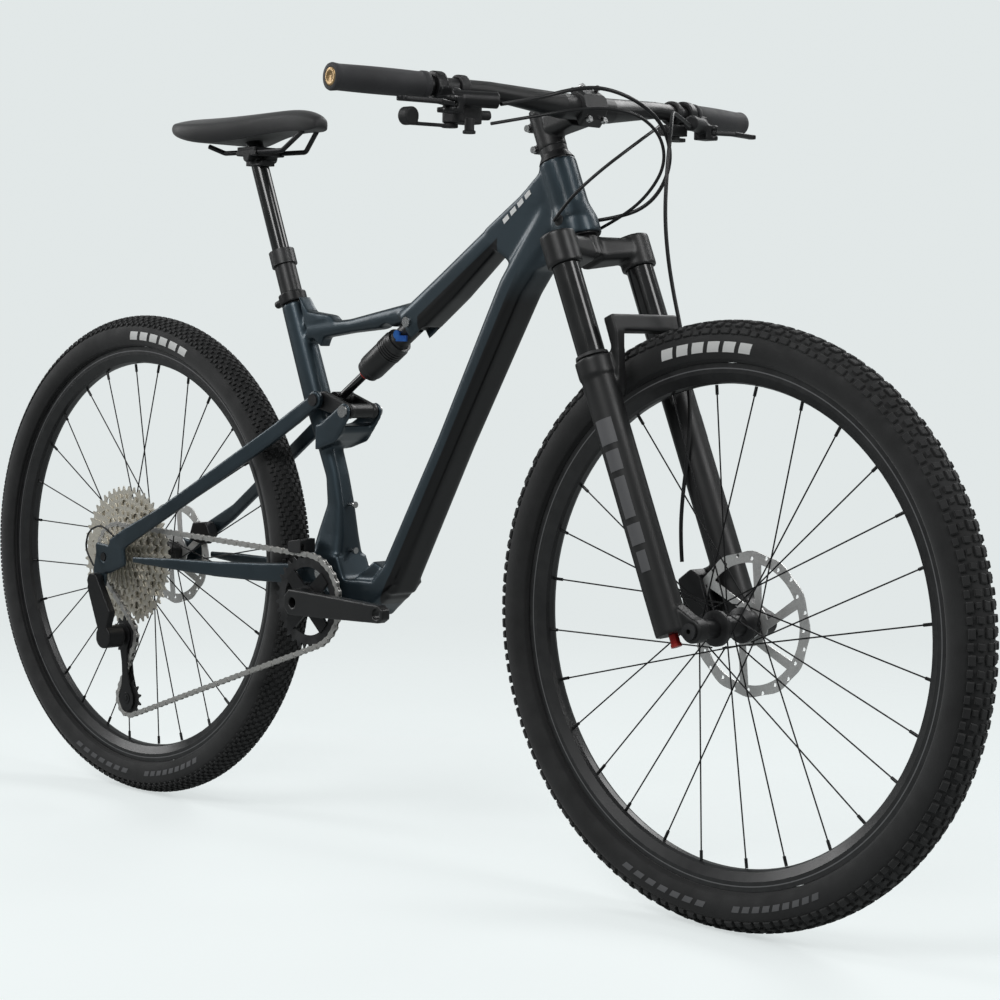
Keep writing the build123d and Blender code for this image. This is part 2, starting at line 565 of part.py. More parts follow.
def make_wheels():
    make_tyre("front_tyre", FRONT_AXLE, FRONT_TYRE_R, FRONT_TYRE_SECTION)
    make_tyre("rear_tyre", REAR_AXLE, REAR_TYRE_R, REAR_TYRE_SECTION)
    make_rim("front_rim", FRONT_AXLE)
    make_rim("rear_rim", REAR_AXLE)
    make_spokes("front_spokes", FRONT_AXLE, (-27.0, 23.0), 25.0)
    make_spokes("rear_spokes", REAR_AXLE, (-19.0, 33.0), 25.0)
    bore = 7.5 + FIT
    add("front_hub", turned(FRONT_AXLE, [
        (-54.6, bore), (-54.6, 11), (-32, 12), (-29.5, 22), (-24.5, 22), (-20, 14), (16, 14), (20.5, 22),
        (25.5, 22), (28, 17), (38.4, 17), (38.4, 12), (54.6, 11), (54.6, bore)]))
    bore = 6.0 + FIT
    add("rear_hub", turned(REAR_AXLE, [
        (-31.8, bore), (-31.8, 15), (-24, 18), (-21.5, 22), (-16.5, 22), (-12, 15), (24, 15), (30.5, 22),
        (35.5, 22), (40, 17), (57.4, 17), (57.4, 12), (73.5, 11), (73.5, bore)]))
    make_rotor("front_rotor", FRONT_AXLE, ROTOR_R_FRONT, 39.5, 17.2)
    make_rotor("rear_rotor", REAR_AXLE, ROTOR_R_REAR, 58.5, 17.2)


def make_rotor(name, axle, radius, y, bore):
    """A brake rotor: a wavy, pierced braking ring on a spider with six bolt holes."""
    half = ROTOR_THICKNESS / 2
    spokes, wave = 6, 1.2
    rim = []
    for turn in range(0, 360, 5):
        reach = radius - wave + wave * math.cos(math.radians(turn * 12))
        rim.append((axle[0] + reach * math.cos(math.radians(turn)), axle[1] + reach * math.sin(math.radians(turn))))
    disc = plate(rim, y - half, y + half) - cross_rod(axle, y - 5, y + 5, radius - 15)
    hub = cross_rod(axle, y - half, y + half, 27) - cross_rod(axle, y - 5, y + 5, bore)
    for arm in range(spokes):
        turn = math.radians(arm * 360 / spokes)
        lead = turn + math.radians(24)
        corners = [(24, turn - 0.24), (24, turn + 0.24), (radius - 13.5, lead + 0.09), (radius - 13.5, lead - 0.07)]
        outline = [(axle[0] + r * math.cos(a), axle[1] + r * math.sin(a)) for r, a in corners]
        hub += plate(outline, y - half, y + half)
    disc += hub
    for hole in range(24):
        turn = math.radians(hole * 15)
        reach = radius - (5 if hole % 2 else 9.5)
        place = (axle[0] + reach * math.cos(turn), axle[1] + reach * math.sin(turn))
        disc -= cross_rod(place, y - 5, y + 5, 2.4)
    for hole in range(6):
        turn = math.radians(hole * 60 + 30)
        place = (axle[0] + 22 * math.cos(turn), axle[1] + 22 * math.sin(turn))
        disc += cross_rod(place, y + half, y + half + 1.6, 3.6)
    add(name, disc)


# ---------------------------------------------------------------- drivetrain
def make_cassette():
    cogs = None
    for index, teeth in enumerate(COGS):
        y = -CHAIN_LINE + COG_PITCH * (DRIVEN_COG - index)
        cog = sprocket(REAR_AXLE, teeth, y, COG_THICKNESS)
        root = pitch_radius(teeth) - 3.9
        if teeth > 24:
            following = pitch_radius(COGS[index + 1]) - 8
            for window in range(9):
                turn = math.radians(window * 40 + 12 * index)
                reach = (root + following) / 2
                place = (REAR_AXLE[0] + reach * math.cos(turn), REAR_AXLE[1] + reach * math.sin(turn))
                cog -= cross_rod(place, y - 2, y + 2, min(6.0, (root - following) / 2))
        cogs = cog if cogs is None else cogs + cog
        if index + 1 < len(COGS):
            cogs += cross_rod(REAR_AXLE, y - COG_PITCH, y - COG_THICKNESS / 2 + 0.2, min(17.5, root - 3))
    cogs += cross_rod(REAR_AXLE, -35.6, -32.2, 24)
    cogs -= cross_rod(REAR_AXLE, -80, -30, 6.0 + FIT)
    add("cassette", cogs)


def make_cranks():
    pedal_x = BB[0] + CRANK_LENGTH
    ring_y = -CHAIN_LINE
    arm = plate([(BB[0] - 17, BB[1] - 8), (BB[0] - 17, BB[1] + 8), (BB[0] - 8, BB[1] + 18),
                 (BB[0] + 30, BB[1] + 17), (pedal_x + 4, BB[1] + 12), (pedal_x + 13, BB[1] + 6),
                 (pedal_x + 13, BB[1] - 6), (pedal_x + 4, BB[1] - 12), (BB[0] + 30, BB[1] - 17),
                 (BB[0] - 8, BB[1] - 18)], -83, -68)
    arm += cross_rod(BB, -68.5, -57, 19)
    arm += cross_rod(BB, -57.5, 76, 12.0)
    arm -= cross_rod((pedal_x, BB[1]), -90, -60, 7.14)
    arm -= cross_rod(BB, -90, -60, 7)
    add("crank_arm_right", arm)
    pedal_x = BB[0] - CRANK_LENGTH
    arm = plate([(BB[0] + 17, BB[1] - 8), (BB[0] + 17, BB[1] + 8), (BB[0] + 8, BB[1] + 18),
                 (BB[0] - 30, BB[1] + 17), (pedal_x - 4, BB[1] + 12), (pedal_x - 13, BB[1] + 6),
                 (pedal_x - 13, BB[1] - 6), (pedal_x - 4, BB[1] - 12), (BB[0] - 30, BB[1] - 17),
                 (BB[0] + 8, BB[1] - 18)], 68, 83)
    arm += cross_rod(BB, 52, 69, 17)
    arm -= cross_rod(BB, 40, 76.1, 12.02)
    arm -= cross_rod((pedal_x, BB[1]), 60, 90, 7.14)
    add("crank_arm_left", arm)
    ring = sprocket(BB, CHAINRING_TEETH, ring_y, 2.0)
    ring -= cross_rod(BB, ring_y - 3, ring_y + 3, 48)
    for arm_index in range(4):
        turn = math.radians(45 + 90 * arm_index)
        corners = [(18, turn - 0.7), (18, turn + 0.7), (51, turn + 0.19), (51, turn - 0.19)]
        outline = [(BB[0] + r * math.cos(a), BB[1] + r * math.sin(a)) for r, a in corners]
        ring += plate(outline, ring_y - 3, ring_y + 1)
    ring += cross_rod(BB, ring_y - 4.4, ring_y + 1, 22)
    ring -= cross_rod(BB, ring_y - 10, ring_y + 10, 12.02)
    add("chainring", ring)


def make_chain():
    """The chain's outline: straight runs between the arcs on the sprockets and jockey wheels."""
    drive, driven = pitch_radius(CHAINRING_TEETH), pitch_radius(COGS[DRIVEN_COG])
    jockey = pitch_radius(JOCKEY_TEETH)
    upper = tangent(REAR_AXLE, driven, BB, drive, 1)
    lower = tangent(BB, drive, JOCKEY_LOWER, jockey, 1)
    cage = tangent(JOCKEY_LOWER, jockey, JOCKEY_UPPER, jockey, 1, cross=True)
    back = tangent(JOCKEY_UPPER, jockey, REAR_AXLE, driven, -1, cross=True)
    solids = []
    for (start, end), radius_start, radius_end in ((upper, driven, drive), (lower, drive, jockey),
                                                   (cage, jockey, jockey), (back, jockey, driven)):
        solids.append(chain_run(start, end, tooth_reach(radius_start), tooth_reach(radius_end)))
    add("chain", *solids)


def tooth_reach(radius):
    """How far along a tangent the sprocket's teeth reach the chain's plates."""
    return math.sqrt(2 * radius * 7.0)


def tangent(a, ra, b, rb, side, cross=False):
    """A line that touches two circles, on the given side of the line from a to b."""
    dx, dz = b[0] - a[0], b[1] - a[1]
    length = math.hypot(dx, dz)
    base = math.atan2(dz, dx)
    lean = math.acos(((ra + rb) if cross else (ra - rb)) / length)
    turn = base + side * lean
    start = (a[0] + ra * math.cos(turn), a[1] + ra * math.sin(turn))
    if cross:
        turn += math.pi
    end = (b[0] + rb * math.cos(turn), b[1] + rb * math.sin(turn))
    return start, end


def chain_run(start, end, trim_start, trim_end, half_height=3.6, half_width=2.3):
    """One straight run, kept short of the teeth at its ends."""
    a, b = step(start, end, trim_start), step(end, start, trim_end)
    along = ((b[0] - a[0]) / math.dist(a, b), (b[1] - a[1]) / math.dist(a, b))
    side = (-along[1] * half_height, along[0] * half_height)
    outline = [(a[0] + side[0], a[1] + side[1]), (b[0] + side[0], b[1] + side[1]),
               (b[0] - side[0], b[1] - side[1]), (a[0] - side[0], a[1] - side[1])]
    return plate(outline, -CHAIN_LINE - half_width, -CHAIN_LINE + half_width)


# ---------------------------------------------------------------- rear suspension
def stay_y(x):
    """How far the stays' middle lies from the middle plane, from the front to the dropouts."""
    stations = ((-124, 35.7), (-200, 37), (-270, 44), (-340, 54), (-430, 66), (-500, 74), (-600, 77.5))
    for (x0, y0), (x1, y1) in zip(stations, stations[1:]):
        if x >= x1:
            return y0 + (y1 - y0) * (x0 - x) / (x0 - x1)
    return stations[-1][1]


def stay_loft(points, side):
    """A stay through stations of (x, y, z, width, depth)."""
    sections = []
    for x, y, z, width, depth in points:
        frame = Plane(origin=(x, side * y, z), x_dir=(0, 1, 0), z_dir=(-1, 0, 0))
        sections.append(frame * RectangleRounded(width, depth, min(width, depth) * 0.3))
    return loft(sections, ruled=True)


def make_chainstays():
    z = MAIN_PIVOT[1]
    yoke = None
    for side in (-1, 1):
        stay = stay_loft([(-124, 35.7, z - 2, 11, 25), (-186, 36.5, z - 6, 12, 30), (-262, 42, z - 10, 10, 26),
                          (-340, 53, z - 12, 9, 22), (-430, 66.5, z - 11, 8, 16), (-506, 74.5, z - 11, 6, 9)], side)
        stay += cross_rod(MAIN_PIVOT, side * 30.2, side * 41.6, 12.5)
        yoke = stay if yoke is None else yoke + stay
    yoke += plate([(-198, z - 19), (-198, z + 6), (-176, z + 6), (-176, z - 19)], -32, 32)
    yoke -= cross_rod(MAIN_PIVOT, -50, 50, 7.5 + FIT)
    add("chainstays", yoke)


def make_seatstays():
    x_end, z_end = REAR_AXLE
    stays = []
    for side in (-1, 1):
        stay = stay_loft([(-151.5, 31.2, 617, 9.2, 24), (-186, 31.2, 597, 9.2, 26), (-236, 36, 566, 9, 26),
                          (-310, 48, 521, 9, 25), (-390, 62, 472, 9, 24), (-450, 72, 436, 8, 24),
                          (-520, 77, 400, 7, 30), (-560, 77.5, 374, 7, 40)], side)
        stay += cross_rod(STAY_PIVOT, side * 26.6, side * 35.8, 12.5)
        low, high = sorted((side * 74.2, side * 81))
        drop = plate([(x_end - 22, z_end + 22), (x_end + 48, z_end + 16), (x_end + 52, z_end - 9),
                      (x_end + 14, z_end - 24), (x_end - 14, z_end - 24)], low, high, corner=6)
        if side < 0:
            drop += plate([(x_end - 18, z_end + 10), (x_end + 6, z_end - 20), (x_end + 2, z_end - 46),
                           (x_end - 20, z_end - 48), (x_end - 26, z_end - 20)], -81, -74.2, corner=4)
        stay += drop
        stay -= cross_rod(REAR_AXLE, side * 70, side * 90, 6.05)
        stay -= cross_rod(HANGER_BOLT, -90, -70, 5.0)
        stays.append(stay)
    add("seatstays", *stays)
    bolts = [cross_rod(STAY_PIVOT, side * 35.85, side * 38.5, 8.5) for side in (-1, 1)]
    axle = cross_rod(REAR_AXLE, -81.5, 84.5, 6.0) + cross_rod(REAR_AXLE, 81.05, 85, 10)
    add("rear_axle", axle, *bolts)
    x0, z0 = x_end + 62, z_end + 30
    caliper = plate([(x0 - 20, z0 - 6), (x0 - 10, z0 + 20), (x0 + 20, z0 + 23), (x0 + 32, z0 + 4),
                     (x0 + 14, z0 - 12)], 48.5, 66.8, corner=4)
    caliper -= cross_rod(REAR_AXLE, 56.4, 60.6, ROTOR_R_REAR + 1.5)
    add("rear_caliper", caliper)


def make_rocker():
    arms = None
    for side in (-1, 1):
        low, high = sorted((side * ARM_IN, side * ARM_OUT))
        arm = plate([(-160, 607), (-161, 627), (-142, 631), (-96, 616), (-84, 604), (-94, 593)], low, high, corner=5)
        arm += cross_rod(STAY_PIVOT, low, high, 11) + cross_rod(ROCKER_PIVOT, low, high, 11)
        arms = arm if arms is None else arms + arm
    arms += cross_rod(ROCKER_PIVOT, -ARM_OUT, ARM_OUT, 10)
    for side in (-1, 1):
        arms -= cross_rod(ROCKER_PIVOT, side * (ARM_IN - 6.5), side * 30, 5 + FIT)
        low, high = sorted((side * 15.5, side * (ARM_IN + 0.2)))
        arms += cross_rod(SHOCK_EYE, low, high, 7)
    add("rocker_link", arms)


def make_shock():
    can = cross_rod(SHOCK_MOUNT, -14, 14, 11) + rod(shock_point(5), shock_point(44), 13.5)
    can += rod(shock_point(44), shock_point(112), 18.5)
    can += rod(shock_point(112), shock_point(118), 15)
    can -= cross_rod(SHOCK_MOUNT, -20, 20, 4 + FIT)
    can -= rod(shock_point(38), shock_point(125), 6.0 + FIT)
    add("shock_can", can)
    shaft = rod(shock_point(84), shock_point(182), 6.0) + cross_rod(SHOCK_EYE, -11, 11, 10)
    add("shock_shaft", shaft)
    pivot = shock_point(30)
    lever = rod((pivot[0], -14.4, pivot[2]), (pivot[0], -17.5, pivot[2]), 6)
    lever += block((pivot[0] + 9, -16, pivot[2] - 5), 20, 3, 8)
    add("shock_lever", lever)


# ---------------------------------------------------------------- derailleur
def make_derailleur():
    upper = JOCKEY_UPPER
    arm = cross_rod(HANGER_BOLT, -96, -82, 12) + cross_rod(HANGER_BOLT, -82.5, -74, 4.9)
    arm += plate([(-590, 340), (-572, 340), (-536, 286), (-548, 254), (-566, 258), (-592, 318)], -96, -84, corner=5)
    arm += cross_rod(upper, -96, -66, 17)
    arm -= cross_rod(upper, -70, -62, 6)
    loop = cable([(-584, -90, 352), (-607, -89, 377), (-602, -87, 404), (-572, -86, 416), (-540, -85.5, 400)], 1.8)
    add("derailleur_body", arm, loop)
    cage = plate([(upper[0] - 16, upper[1] + 6), (upper[0] + 12, upper[1] + 12), (upper[0] + 17, upper[1] - 12),
                  (JOCKEY_LOWER[0] + 14, JOCKEY_LOWER[1] + 20), (JOCKEY_LOWER[0] + 15, JOCKEY_LOWER[1] - 10),
                  (JOCKEY_LOWER[0], JOCKEY_LOWER[1] - 17), (JOCKEY_LOWER[0] - 15, JOCKEY_LOWER[1] - 8),
                  (upper[0] - 15, upper[1] - 16)], -CHAIN_LINE - 7.4, -CHAIN_LINE - 4.4, corner=5)
    inner = Pos(0, 11.8, 0) * cage
    cage += inner
    for place in (JOCKEY_UPPER, JOCKEY_LOWER):
        cage += cross_rod(place, -CHAIN_LINE - 6, -CHAIN_LINE + 6, 2.6)
    cage += cross_rod(upper, -65.6, -CHAIN_LINE - 7, 9)
    cage += cross_rod(upper, -69.5, -65.5, 5.7)
    add("derailleur_cage", cage)
    for name, place in (("jockey_upper", JOCKEY_UPPER), ("jockey_lower", JOCKEY_LOWER)):
        wheel = sprocket(place, JOCKEY_TEETH, -CHAIN_LINE, 2.2)
        wheel += cross_rod(place, -CHAIN_LINE - 3.6, -CHAIN_LINE + 3.6, 6)
        wheel -= cross_rod(place, -CHAIN_LINE - 5, -CHAIN_LINE + 5, 2.6 + FIT)
        add(name, wheel)


# ---------------------------------------------------------------- seat
def make_seat():
    add("dropper_inner", rod(seat(-8), seat(212), POST_R))
    base = seat(212)
    top = base[2]
    clamp = block((base[0], 0, top + 4), 34, 26, 8)
    clamp += rod((base[0], -27, top + 12), (base[0], 27, top + 12), 7)
    clamp += block((base[0], 0, top + 17), 44, 54, 7)
    for side in (-1, 1):
        clamp -= rod((base[0] - 40, side * 22, top + 19), (base[0] + 40, side * 22, top + 19), 3.52)
    clamp += block((base[0], 0, top + 24), 40, 54, 5)
    for side in (-1, 1):
        clamp -= rod((base[0] - 40, side * 22, top + 19), (base[0] + 40, side * 22, top + 19), 3.52)
    clamp -= rod(seat(150), seat(212.05), POST_R + 0.02)
    add("saddle_clamp", clamp)
    rails = []
    rail_z = top + 19
    for side in (-1, 1):
        run = [(-390, side * 32, rail_z + 10), (-366, side * 22, rail_z), (-240, side * 22, rail_z),
               (-207, side * 13, rail_z + 27)]
        path = FilletPolyline(*run, radius=12)
        start = Vector(*run[1]) - Vector(*run[0])
        rails.append(sweep(Plane(origin=run[0], z_dir=start) * Circle(3.5), path=path))
    add("saddle_rails", *rails)
    sections = []
    for x, width, low, high in ((-464, 90, 1000, 1018), (-430, 138, 986, 1020), (-380, 128, 984, 1021),
                                (-320, 80, 990, 1022), (-250, 48, 1000, 1027), (-205, 40, 1002, 1026),
                                (-181, 26, 1006, 1018)):
        place = Plane(origin=(x, 0, (low + high) / 2), x_dir=(0, 1, 0), z_dir=(1, 0, 0))
        sections.append(place * RectangleRounded(width, high - low, 5))
    saddle = loft(sections, ruled=True)
    add("saddle", saddle)


# ---------------------------------------------------------------- everything
make_main_frame()
make_frame_fittings()
make_fork_upper()
make_cockpit()
make_brake_bodies()
make_brake_levers()
make_shifter()
make_dropper_remote()
make_cables()
make_fork_lowers()
make_wheels()
make_cassette()
make_cranks()
make_chain()
make_chainstays()
make_seatstays()
make_rocker()
make_shock()
make_derailleur()
make_seat()

os.makedirs("parts", exist_ok=True)
for node, shape in nodes.items():
    export_step(shape, "parts/" + node + ".step")
print(len(nodes), "nodes written")
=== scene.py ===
import json
import math

import bmesh
import bpy
from mathutils import Matrix, Vector


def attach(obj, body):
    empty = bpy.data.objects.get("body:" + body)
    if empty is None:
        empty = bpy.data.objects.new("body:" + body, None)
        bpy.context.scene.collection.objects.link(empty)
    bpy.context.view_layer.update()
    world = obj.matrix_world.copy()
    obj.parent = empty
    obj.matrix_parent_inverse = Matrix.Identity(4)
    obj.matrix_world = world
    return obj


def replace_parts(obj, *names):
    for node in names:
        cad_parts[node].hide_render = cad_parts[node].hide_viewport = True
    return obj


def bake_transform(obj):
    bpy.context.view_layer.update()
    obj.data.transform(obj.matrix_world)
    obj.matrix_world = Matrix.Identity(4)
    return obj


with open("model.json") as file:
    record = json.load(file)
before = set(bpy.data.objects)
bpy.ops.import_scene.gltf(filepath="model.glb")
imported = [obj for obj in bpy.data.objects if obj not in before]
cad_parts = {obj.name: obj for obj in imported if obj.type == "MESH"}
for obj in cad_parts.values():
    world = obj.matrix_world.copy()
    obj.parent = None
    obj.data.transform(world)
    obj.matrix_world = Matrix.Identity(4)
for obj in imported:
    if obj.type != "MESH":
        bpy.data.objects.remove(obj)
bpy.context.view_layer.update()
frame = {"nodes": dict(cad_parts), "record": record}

NODES = frame["nodes"]

FRONT_AXLE = Vector((0.569, 0, 0.370))
REAR_AXLE = Vector((-0.573, 0, 0.366))
BOTTOM_BRACKET = Vector((-0.138, 0, 0.338))
CHAIN_LINE = -0.0524
BAR_X, BAR_Z, BAR_SWEEP = 0.314, 1.002, math.tan(math.radians(9.2))
HEAD_BASE = Vector((0.311, 0, 0.837))
HEAD_ANGLE = math.radians(67)
LEG_Y = 0.070
SEAT_ANGLE = math.radians(68.2)
JOCKEY_UPPER, JOCKEY_LOWER = Vector((-0.553, 0, 0.247)), Vector((-0.543, 0, 0.152))
CHAIN_PITCH = 0.0127
CASSETTE_TEETH, RING_TEETH, JOCKEY_TEETH = 24, 32, 13
BACKDROP = (0.76, 0.805, 0.805, 1)
FLOOR_GLOW = 0.74


# ---------------------------------------------------------------- camera, floor and light
def aim_camera():
    yaw, pitch, roll = 0.7660594, 0.0732696, -0.0193740
    ahead = Vector((-math.sin(yaw) * math.cos(pitch), math.cos(yaw) * math.cos(pitch), -math.sin(pitch)))
    right = Vector((math.cos(yaw), math.sin(yaw), 0))
    down = ahead.cross(right)
    right_rolled = math.cos(roll) * right + math.sin(roll) * down
    down_rolled = math.cos(roll) * down - math.sin(roll) * right
    data = bpy.data.cameras.new("camera")
    data.lens, data.sensor_width = 86.245, 36
    camera = bpy.data.objects.new("camera", data)
    camera.matrix_world = Matrix.Translation((2.358028, -2.264354, 0.728612)) @ Matrix(
        (right_rolled, -down_rolled, -ahead)).transposed().to_4x4()
    bpy.context.scene.collection.objects.link(camera)
    bpy.context.scene.camera = camera


def area_light(name, place, target, size, power):
    data = bpy.data.lights.new(name, "AREA")
    data.shape, data.size, data.size_y = "RECTANGLE", size[0], size[1]
    data.energy = power
    lamp = bpy.data.objects.new(name, data)
    lamp.location = place
    lamp.rotation_euler = (Vector(target) - Vector(place)).to_track_quat("-Z", "Y").to_euler()
    bpy.context.scene.collection.objects.link(lamp)


# ---------------------------------------------------------------- materials
class Shader:
    """A Principled material whose inputs follow noise in the row frame."""

    def __init__(self, name, base, rough, metallic=0.0):
        self.material = bpy.data.materials.new(name)
        self.material.use_nodes = True
        self.tree = self.material.node_tree
        self.main = self.tree.nodes["Principled BSDF"]
        self.main.inputs["Base Color"].default_value = (*base, 1)
        self.main.inputs["Roughness"].default_value = rough
        self.main.inputs["Metallic"].default_value = metallic
        self.place = self.node("ShaderNodeTexCoord").outputs["Object"]
        self.base, self.rough = base, rough

    def node(self, kind, **values):
        made = self.tree.nodes.new(kind)
        for key, value in values.items():
            setattr(made, key, value)
        return made

    def link(self, a, b):
        self.tree.links.new(a, b)

    def noise(self, scale, detail=4.0, stretch=None):
        made = self.node("ShaderNodeTexNoise")
        made.inputs["Scale"].default_value = scale
        made.inputs["Detail"].default_value = detail
        vector = self.place
        if stretch:
            mapping = self.node("ShaderNodeMapping")
            mapping.inputs["Scale"].default_value = stretch
            self.link(self.place, mapping.inputs["Vector"])
            vector = mapping.outputs["Vector"]
        self.link(vector, made.inputs["Vector"])
        return made.outputs["Fac"]

    def remap(self, value, low, high, to_low, to_high):
        made = self.node("ShaderNodeMapRange")
        for key, number in (("From Min", low), ("From Max", high), ("To Min", to_low), ("To Max", to_high)):
            made.inputs[key].default_value = number
        self.link(value, made.inputs["Value"])
        return made.outputs["Result"]

    def mix(self, factor, first, second):
        made = self.node("ShaderNodeMix", data_type="RGBA")
        self.link(factor, made.inputs["Factor"])
        for socket, value in ((made.inputs[6], first), (made.inputs[7], second)):
            if isinstance(value, tuple):
                socket.default_value = (*value, 1)
            else:
                self.link(value, socket)
        return made.outputs[2]

    def colour(self, output):
        self.link(output, self.main.inputs["Base Color"])

    def bump(self, height, strength, distance=0.001, over=None):
        made = self.node("ShaderNodeBump")
        made.inputs["Strength"].default_value = strength
        made.inputs["Distance"].default_value = distance
        self.link(height, made.inputs["Height"])
        if over is not None:
            self.link(over, made.inputs["Normal"])
        self.link(made.outputs["Normal"], self.main.inputs["Normal"])
        return made.outputs["Normal"]

    def math(self, operation, a, b=None):
        made = self.node("ShaderNodeMath", operation=operation)
        for socket, value in zip(made.inputs, (a, b)):
            if value is None:
                continue
            if isinstance(value, (int, float)):
                socket.default_value = value
            else:
                self.link(value, socket)
        return made.outputs[0]

    def radius_from(self, centre):
        """Distance from a wheel's axle, in metres."""
        parts = self.node("ShaderNodeSeparateXYZ")
        self.link(self.place, parts.inputs[0])
        x = self.math("SUBTRACT", parts.outputs[0], centre[0])
        z = self.math("SUBTRACT", parts.outputs[2], centre[2])
        return self.math("SQRT", self.math("ADD", self.math("MULTIPLY", x, x), self.math("MULTIPLY", z, z)))

    def tone_and_edge_highlight(self, edge_highlight_colour, grain=60.0, amount=0.6):
        """Painted highlight on sharp edges, lighter where the mesh is pointy, and a slow change of tone over
        the surface.
        """
        point = self.node("ShaderNodeNewGeometry").outputs["Pointiness"]
        # painted highlight: sharp convex edges are mixed towards a lighter colour
        edge_highlight_mask = self.remap(point, 0.515, 0.60, 0.0, amount)
        patch = self.remap(self.noise(grain), 0.35, 0.65, 0.2, 1.0)
        tone = self.mix(self.remap(self.noise(6.0), 0.3, 0.7, 0.0, 1.0), tuple(0.82 * c for c in self.base),
                        tuple(min(1.0, 1.2 * c) for c in self.base))
        self.colour(self.mix(self.math("MULTIPLY", edge_highlight_mask, patch), tone, edge_highlight_colour))
        smudge = self.remap(self.noise(18.0, 6.0), 0.3, 0.7, self.rough * 0.82, min(1.0, self.rough * 1.22))
        self.link(smudge, self.main.inputs["Roughness"])
        return self


def coated(name, base, rough, metallic, coat, coat_rough, edge_highlight_colour, flake=0.0, grain=900.0, depth=0.05):
    shader = Shader(name, base, rough, metallic)
    # sharp edges get a lighter colour painted on as a highlight
    shader.tone_and_edge_highlight(edge_highlight_colour)
    shader.main.inputs["Coat Weight"].default_value = coat
    shader.main.inputs["Coat Roughness"].default_value = coat_rough
    if flake:
        cells = shader.node("ShaderNodeTexVoronoi")
        cells.inputs["Scale"].default_value = 2600
        shader.link(shader.place, cells.inputs["Vector"])
        shader.bump(cells.outputs["Distance"], flake, 0.0004)
    else:
        shader.bump(shader.noise(grain), depth, 0.0006)
    return shader


def rubber(name, base, rough, grain, depth, sheen=0.15):
    shader = Shader(name, base, rough)
    patch = shader.remap(shader.noise(14.0, 5.0), 0.35, 0.7, 0.0, 1.0)
    shader.colour(shader.mix(patch, tuple(0.75 * c for c in base), tuple(1.35 * c for c in base)))
    shader.main.inputs["Sheen Weight"].default_value = sheen
    shader.main.inputs["Sheen Roughness"].default_value = 0.5
    smudge = shader.remap(shader.noise(40.0), 0.3, 0.7, rough * 0.88, rough * 1.12)
    shader.link(smudge, shader.main.inputs["Roughness"])
    fine = shader.bump(shader.noise(grain, 6.0), depth, 0.0008)
    return shader, fine


def brushed(name, base, rough, lines, metallic=1.0, stretch=(1, 0.04, 1)):
    shader = Shader(name, base, rough, metallic)
    grain = shader.noise(lines, 3.0, stretch)
    shader.colour(shader.mix(grain, tuple(0.7 * c for c in base), tuple(min(1.0, 1.15 * c) for c in base)))
    shader.link(shader.remap(grain, 0.3, 0.7, rough * 0.75, rough * 1.3), shader.main.inputs["Roughness"])
    shader.bump(grain, 0.12, 0.0003)
    return shader


# Each row: base, roughness, metallic, coat, coat roughness, the lighter colour painted on sharp edges as a
# highlight, then flake, grain and depth where given.
COATED = {
    "satin_black": ((0.009, 0.009, 0.0095), 0.40, 0.0, 0.25, 0.3, (0.04, 0.04, 0.042)),
    "gloss_black": ((0.005, 0.005, 0.0055), 0.16, 0.0, 0.6, 0.05, (0.02, 0.02, 0.02)),
    "black_anodised": ((0.012, 0.012, 0.013), 0.36, 0.25, 0.0, 0.2, (0.07, 0.07, 0.072), 0.0, 1800),
    "lowers_black": ((0.009, 0.009, 0.0095), 0.46, 0.0, 0.15, 0.35, (0.03, 0.03, 0.032)),
    "matte_plastic": ((0.018, 0.018, 0.019), 0.55, 0.0, 0.0, 0.5, (0.05, 0.05, 0.05), 0.0, 2500, 0.15),
    "spoke_black": ((0.014, 0.014, 0.015), 0.3, 0.6, 0.0, 0.2, (0.06, 0.06, 0.06)),
    "rail_steel": ((0.02, 0.02, 0.022), 0.35, 0.6, 0.0, 0.2, (0.1, 0.1, 0.1)),
    "red_anodised": ((0.42, 0.012, 0.01), 0.34, 0.6, 0.2, 0.2, (0.7, 0.1, 0.08)),
    "blue_anodised": ((0.01, 0.08, 0.42), 0.3, 0.6, 0.2, 0.2, (0.05, 0.25, 0.7)),
    "mark_white": ((0.78, 0.78, 0.77), 0.5, 0.0, 0.0, 0.3, (0.8, 0.8, 0.8)),
    "mark_grey": ((0.11, 0.11, 0.115), 0.45, 0.0, 0.1, 0.3, (0.14, 0.14, 0.14)),
    "plug_gold": ((0.42, 0.27, 0.12), 0.35, 0.7, 0.1, 0.2, (0.6, 0.45, 0.25)),
}
RUBBERS = {
    "grip_rubber": ((0.030, 0.030, 0.033), 0.72, 1200, 0.25),
    "hose_black": ((0.012, 0.012, 0.013), 0.38, 600, 0.05, 0.0),
    "tyre_rubber": ((0.012, 0.012, 0.0125), 0.74, 700, 0.3),
}
BRUSHED = {
    "rotor_steel": ((0.80, 0.80, 0.79), 0.42, 900, 0.7),
    "chain_steel": ((0.60, 0.59, 0.57), 0.38, 1200, 0.75),
    "cassette_steel": ((0.80, 0.76, 0.67), 0.4, 1500, 0.7),
    "silver_bolt": ((0.6, 0.6, 0.6), 0.24, 900),
}


def make_materials():
    made = {name: coated(name, *values) for name, values in COATED.items()}
    made.update({name: rubber(name, *values)[0] for name, values in RUBBERS.items()})
    made.update({name: brushed(name, *values) for name, values in BRUSHED.items()})
    made["frame_paint"] = frame_paint()
    made["saddle_cover"] = saddle_cover()
    made["rim_front"] = rim_paint("rim_front", FRONT_AXLE)
    made["rim_rear"] = rim_paint("rim_rear", REAR_AXLE)
    return made


